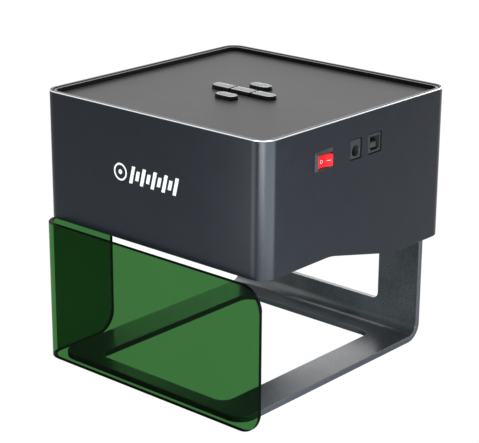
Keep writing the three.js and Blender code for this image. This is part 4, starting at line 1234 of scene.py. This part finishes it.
def makeFanRotor():
    low, high, (_, _, middle) = localBox("fan_rotor")
    x, y, _ = localBox("fan_frame")[2]
    hub, steps = coolingFan["hub"], coolingFan["sections"]
    blade = loft("blade", [bladeSection(step / steps, middle) for step in range(steps + 1)], [blackFinish],
        place=atOrigin)
    blades = setInRing("fanBlades", blade, blackFinish, (x, y, 0), coolingFan["blades"])
    body = turned("fanRotor", [(hub - 0.5, low.z), (hub, low.z + 0.3), (hub, high.z - 0.8),
        (hub - 0.25, high.z - 0.25), (hub - 0.9, high.z), (hub * 0.3, high.z), (hub * 0.25, high.z - 0.35)],
        [blackFinish], centre=(x, y), sides=48)
    return gather("fanRotor", [body, blades])


install(makeFanFrame(), "carriage", "black_plastic", "fan_frame")
install(makeFanRotor(), "fan", "black_plastic", "fan_rotor")
print("fan ready")

# Printed mark on the front

mark = {"z": 118.1, "height": 9.6, "ringX": -20.2, "ring": 4.8, "stroke": 1.05, "dot": 1.35, "thick": 0.05,
    "bars": 9, "barStart": -12.6, "barPitch": 3.9, "barWidth": 2.3, "lean": 2.4, "shortBar": 0.55}


def flatPrint(name, outer, inner=None):
    back, face = 0.02, -mark["thick"]
    if inner is None:
        return prism(name, outer, (back, face), [whiteFinish], "y")
    rings = [onAxis("y", outline, level) for outline, level in
        ((outer, back), (outer, face), (inner, face), (inner, back))]
    return loft(name, rings, [whiteFinish], closed=True)


def makeFrontMark():
    # A plain sign: a ring round a dot, and a row of leaning bars.
    z, half, wide, centre = mark["z"], mark["height"] / 2, mark["barWidth"], (mark["ringX"], mark["z"])
    parts = [flatPrint("ring", circle(mark["ring"], centre, 48), circle(mark["ring"] - mark["stroke"], centre, 48)),
        flatPrint("dot", circle(mark["dot"], centre, 32))]
    for index in range(mark["bars"]):
        u = mark["barStart"] + index * mark["barPitch"]
        tall = half * (1.0 if index % 2 == 0 else mark["shortBar"])
        lean = mark["lean"] * tall / half / 2
        parts.append(flatPrint("bar", [(u - lean, z - tall), (u + wide - lean, z - tall), (u + wide + lean, z + tall),
            (u + lean, z + tall)]))
    return gather("frontMark", parts)


install(makeFrontMark(), "machine", "sleeve_metal")
print("front mark ready")

# Floor, light and camera

studio = {"floorSize": 6.0, "floorDrop": 0.0001, "floorTone": (0.38, 0.42), "floorGlow": 1.04, "glowShare": 0.95,
    "world": 0.5, "worldInGloss": 1.0}
lamps = {  # place, aim, size, watts, colour, share in gloss
    "overhead": ((-0.1, 0.15, 0.9), (0, 0, 0.1), (1.0, 1.0), 7, (1, 1, 1), 1),
    "rightCard": ((0.275, -0.122, 0.062), (0.0, -0.122, 0.062), (0.373, 0.115), 0.66, (0.80, 0.90, 1.0), 1),
    "frontCard": ((-0.010, -0.274, 0.062), (-0.010, 0.0, 0.062), (0.115, 0.115), 0.12, (0.88, 0.95, 1.0), 1),
    "underFill": ((0.32, -0.42, 0.075), (0.03, 0.07, 0.055), (0.25, 0.14), 1.5, (0.90, 0.95, 1.0), 0.35),
    "windowCard": ((-0.25, 0.40, 0.115), (0.05, 0.05, 0.02), (0.40, 0.12), 0.45, (0.95, 0.97, 1.0), 1),
    "rearSoft": ((0.0, 0.75, 0.30), (0, 0, 0.08), (0.5, 0.5), 3.0, (0.95, 0.97, 1.0), 0.3)}
viewpoint = {"lens": 119.12, "sensor": 36, "turn": (-41.159, 18.74, 0.362), "place": (0.54908, -0.63211, 0.36086)}


def makeFloor():
    shape = bmesh.new()
    bmesh.ops.create_grid(shape, x_segments=1, y_segments=1, size=studio["floorSize"])
    floor = finishMesh("studioFloor", shape, [])
    floor.location = (0, 0, -studio["floorDrop"])
    material, tree, shader = newMaterial("palePaper", {"Roughness": 0.9, "Specular IOR Level": 0.1})
    feed(tree, shader, {"Base Color": ranged(tree, noise(tree, onPiece(tree), 900.0), studio["floorTone"])})
    glow = addNode(tree, "ShaderNodeEmission", {"Color": (1, 1, 1, 1), "Strength": studio["floorGlow"]})
    seen = addNode(tree, "ShaderNodeLightPath").outputs["Is Camera Ray"]
    share = maths(tree, "MULTIPLY", seen, studio["glowShare"])
    paper = blended(tree, share, shader.outputs[0], glow.outputs[0])
    under = addNode(tree, "ShaderNodeNewGeometry").outputs["Backfacing"]  # clear from below, to show the feet
    clear = addNode(tree, "ShaderNodeBsdfTransparent")
    feed(tree, tree.nodes["Material Output"], {"Surface": blended(tree, under, paper, clear.outputs[0])})
    floor.data.materials.append(material)


def makeWorld():
    world = bpy.data.worlds.new("studio")
    bpy.context.scene.world = world
    world.use_nodes = True
    tree = world.node_tree
    path = addNode(tree, "ShaderNodeLightPath").outputs
    mirrored = ranged(tree, path["Is Glossy Ray"], (studio["world"], studio["worldInGloss"]))
    level = addNode(tree, "ShaderNodeMix", {0: path["Is Camera Ray"], 2: mirrored, 3: 1.0}).outputs[0]
    feed(tree, tree.nodes["Background"], {"Color": (1, 1, 1, 1), "Strength": level})


def softLamp(name, place, aim, size, watts, colour, inGloss):
    lamp = bpy.data.lights.new(name, "AREA")
    lamp.shape = "RECTANGLE"
    lamp.size, lamp.size_y = size
    lamp.energy = watts
    lamp.color = colour
    lamp.specular_factor = inGloss
    holder = linkObject(name, lamp)
    holder.location = place
    holder.rotation_euler = (Vector(aim) - Vector(place)).to_track_quat("-Z", "Y").to_euler()


def makeCamera():
    view = bpy.data.cameras.new("camera")
    view.lens, view.sensor_width = viewpoint["lens"], viewpoint["sensor"]
    holder = linkObject("camera", view)
    yaw, pitch, roll = (math.radians(angle) for angle in viewpoint["turn"])
    forward = Vector((math.cos(pitch) * math.sin(yaw), math.cos(pitch) * math.cos(yaw), -math.sin(pitch)))
    level = Vector((math.cos(yaw), -math.sin(yaw), 0))
    upright = level.cross(forward)
    right = math.cos(roll) * level + math.sin(roll) * upright
    up = -math.sin(roll) * level + math.cos(roll) * upright
    columns = zip(right, up, -forward, viewpoint["place"])
    holder.matrix_world = Matrix((*columns, (0, 0, 0, 1)))
    bpy.context.scene.camera = holder


makeFloor()
makeWorld()
for name, values in lamps.items():
    softLamp(name, *values)
makeCamera()
bpy.context.scene.view_settings.view_transform = "Standard"
print("studio ready")
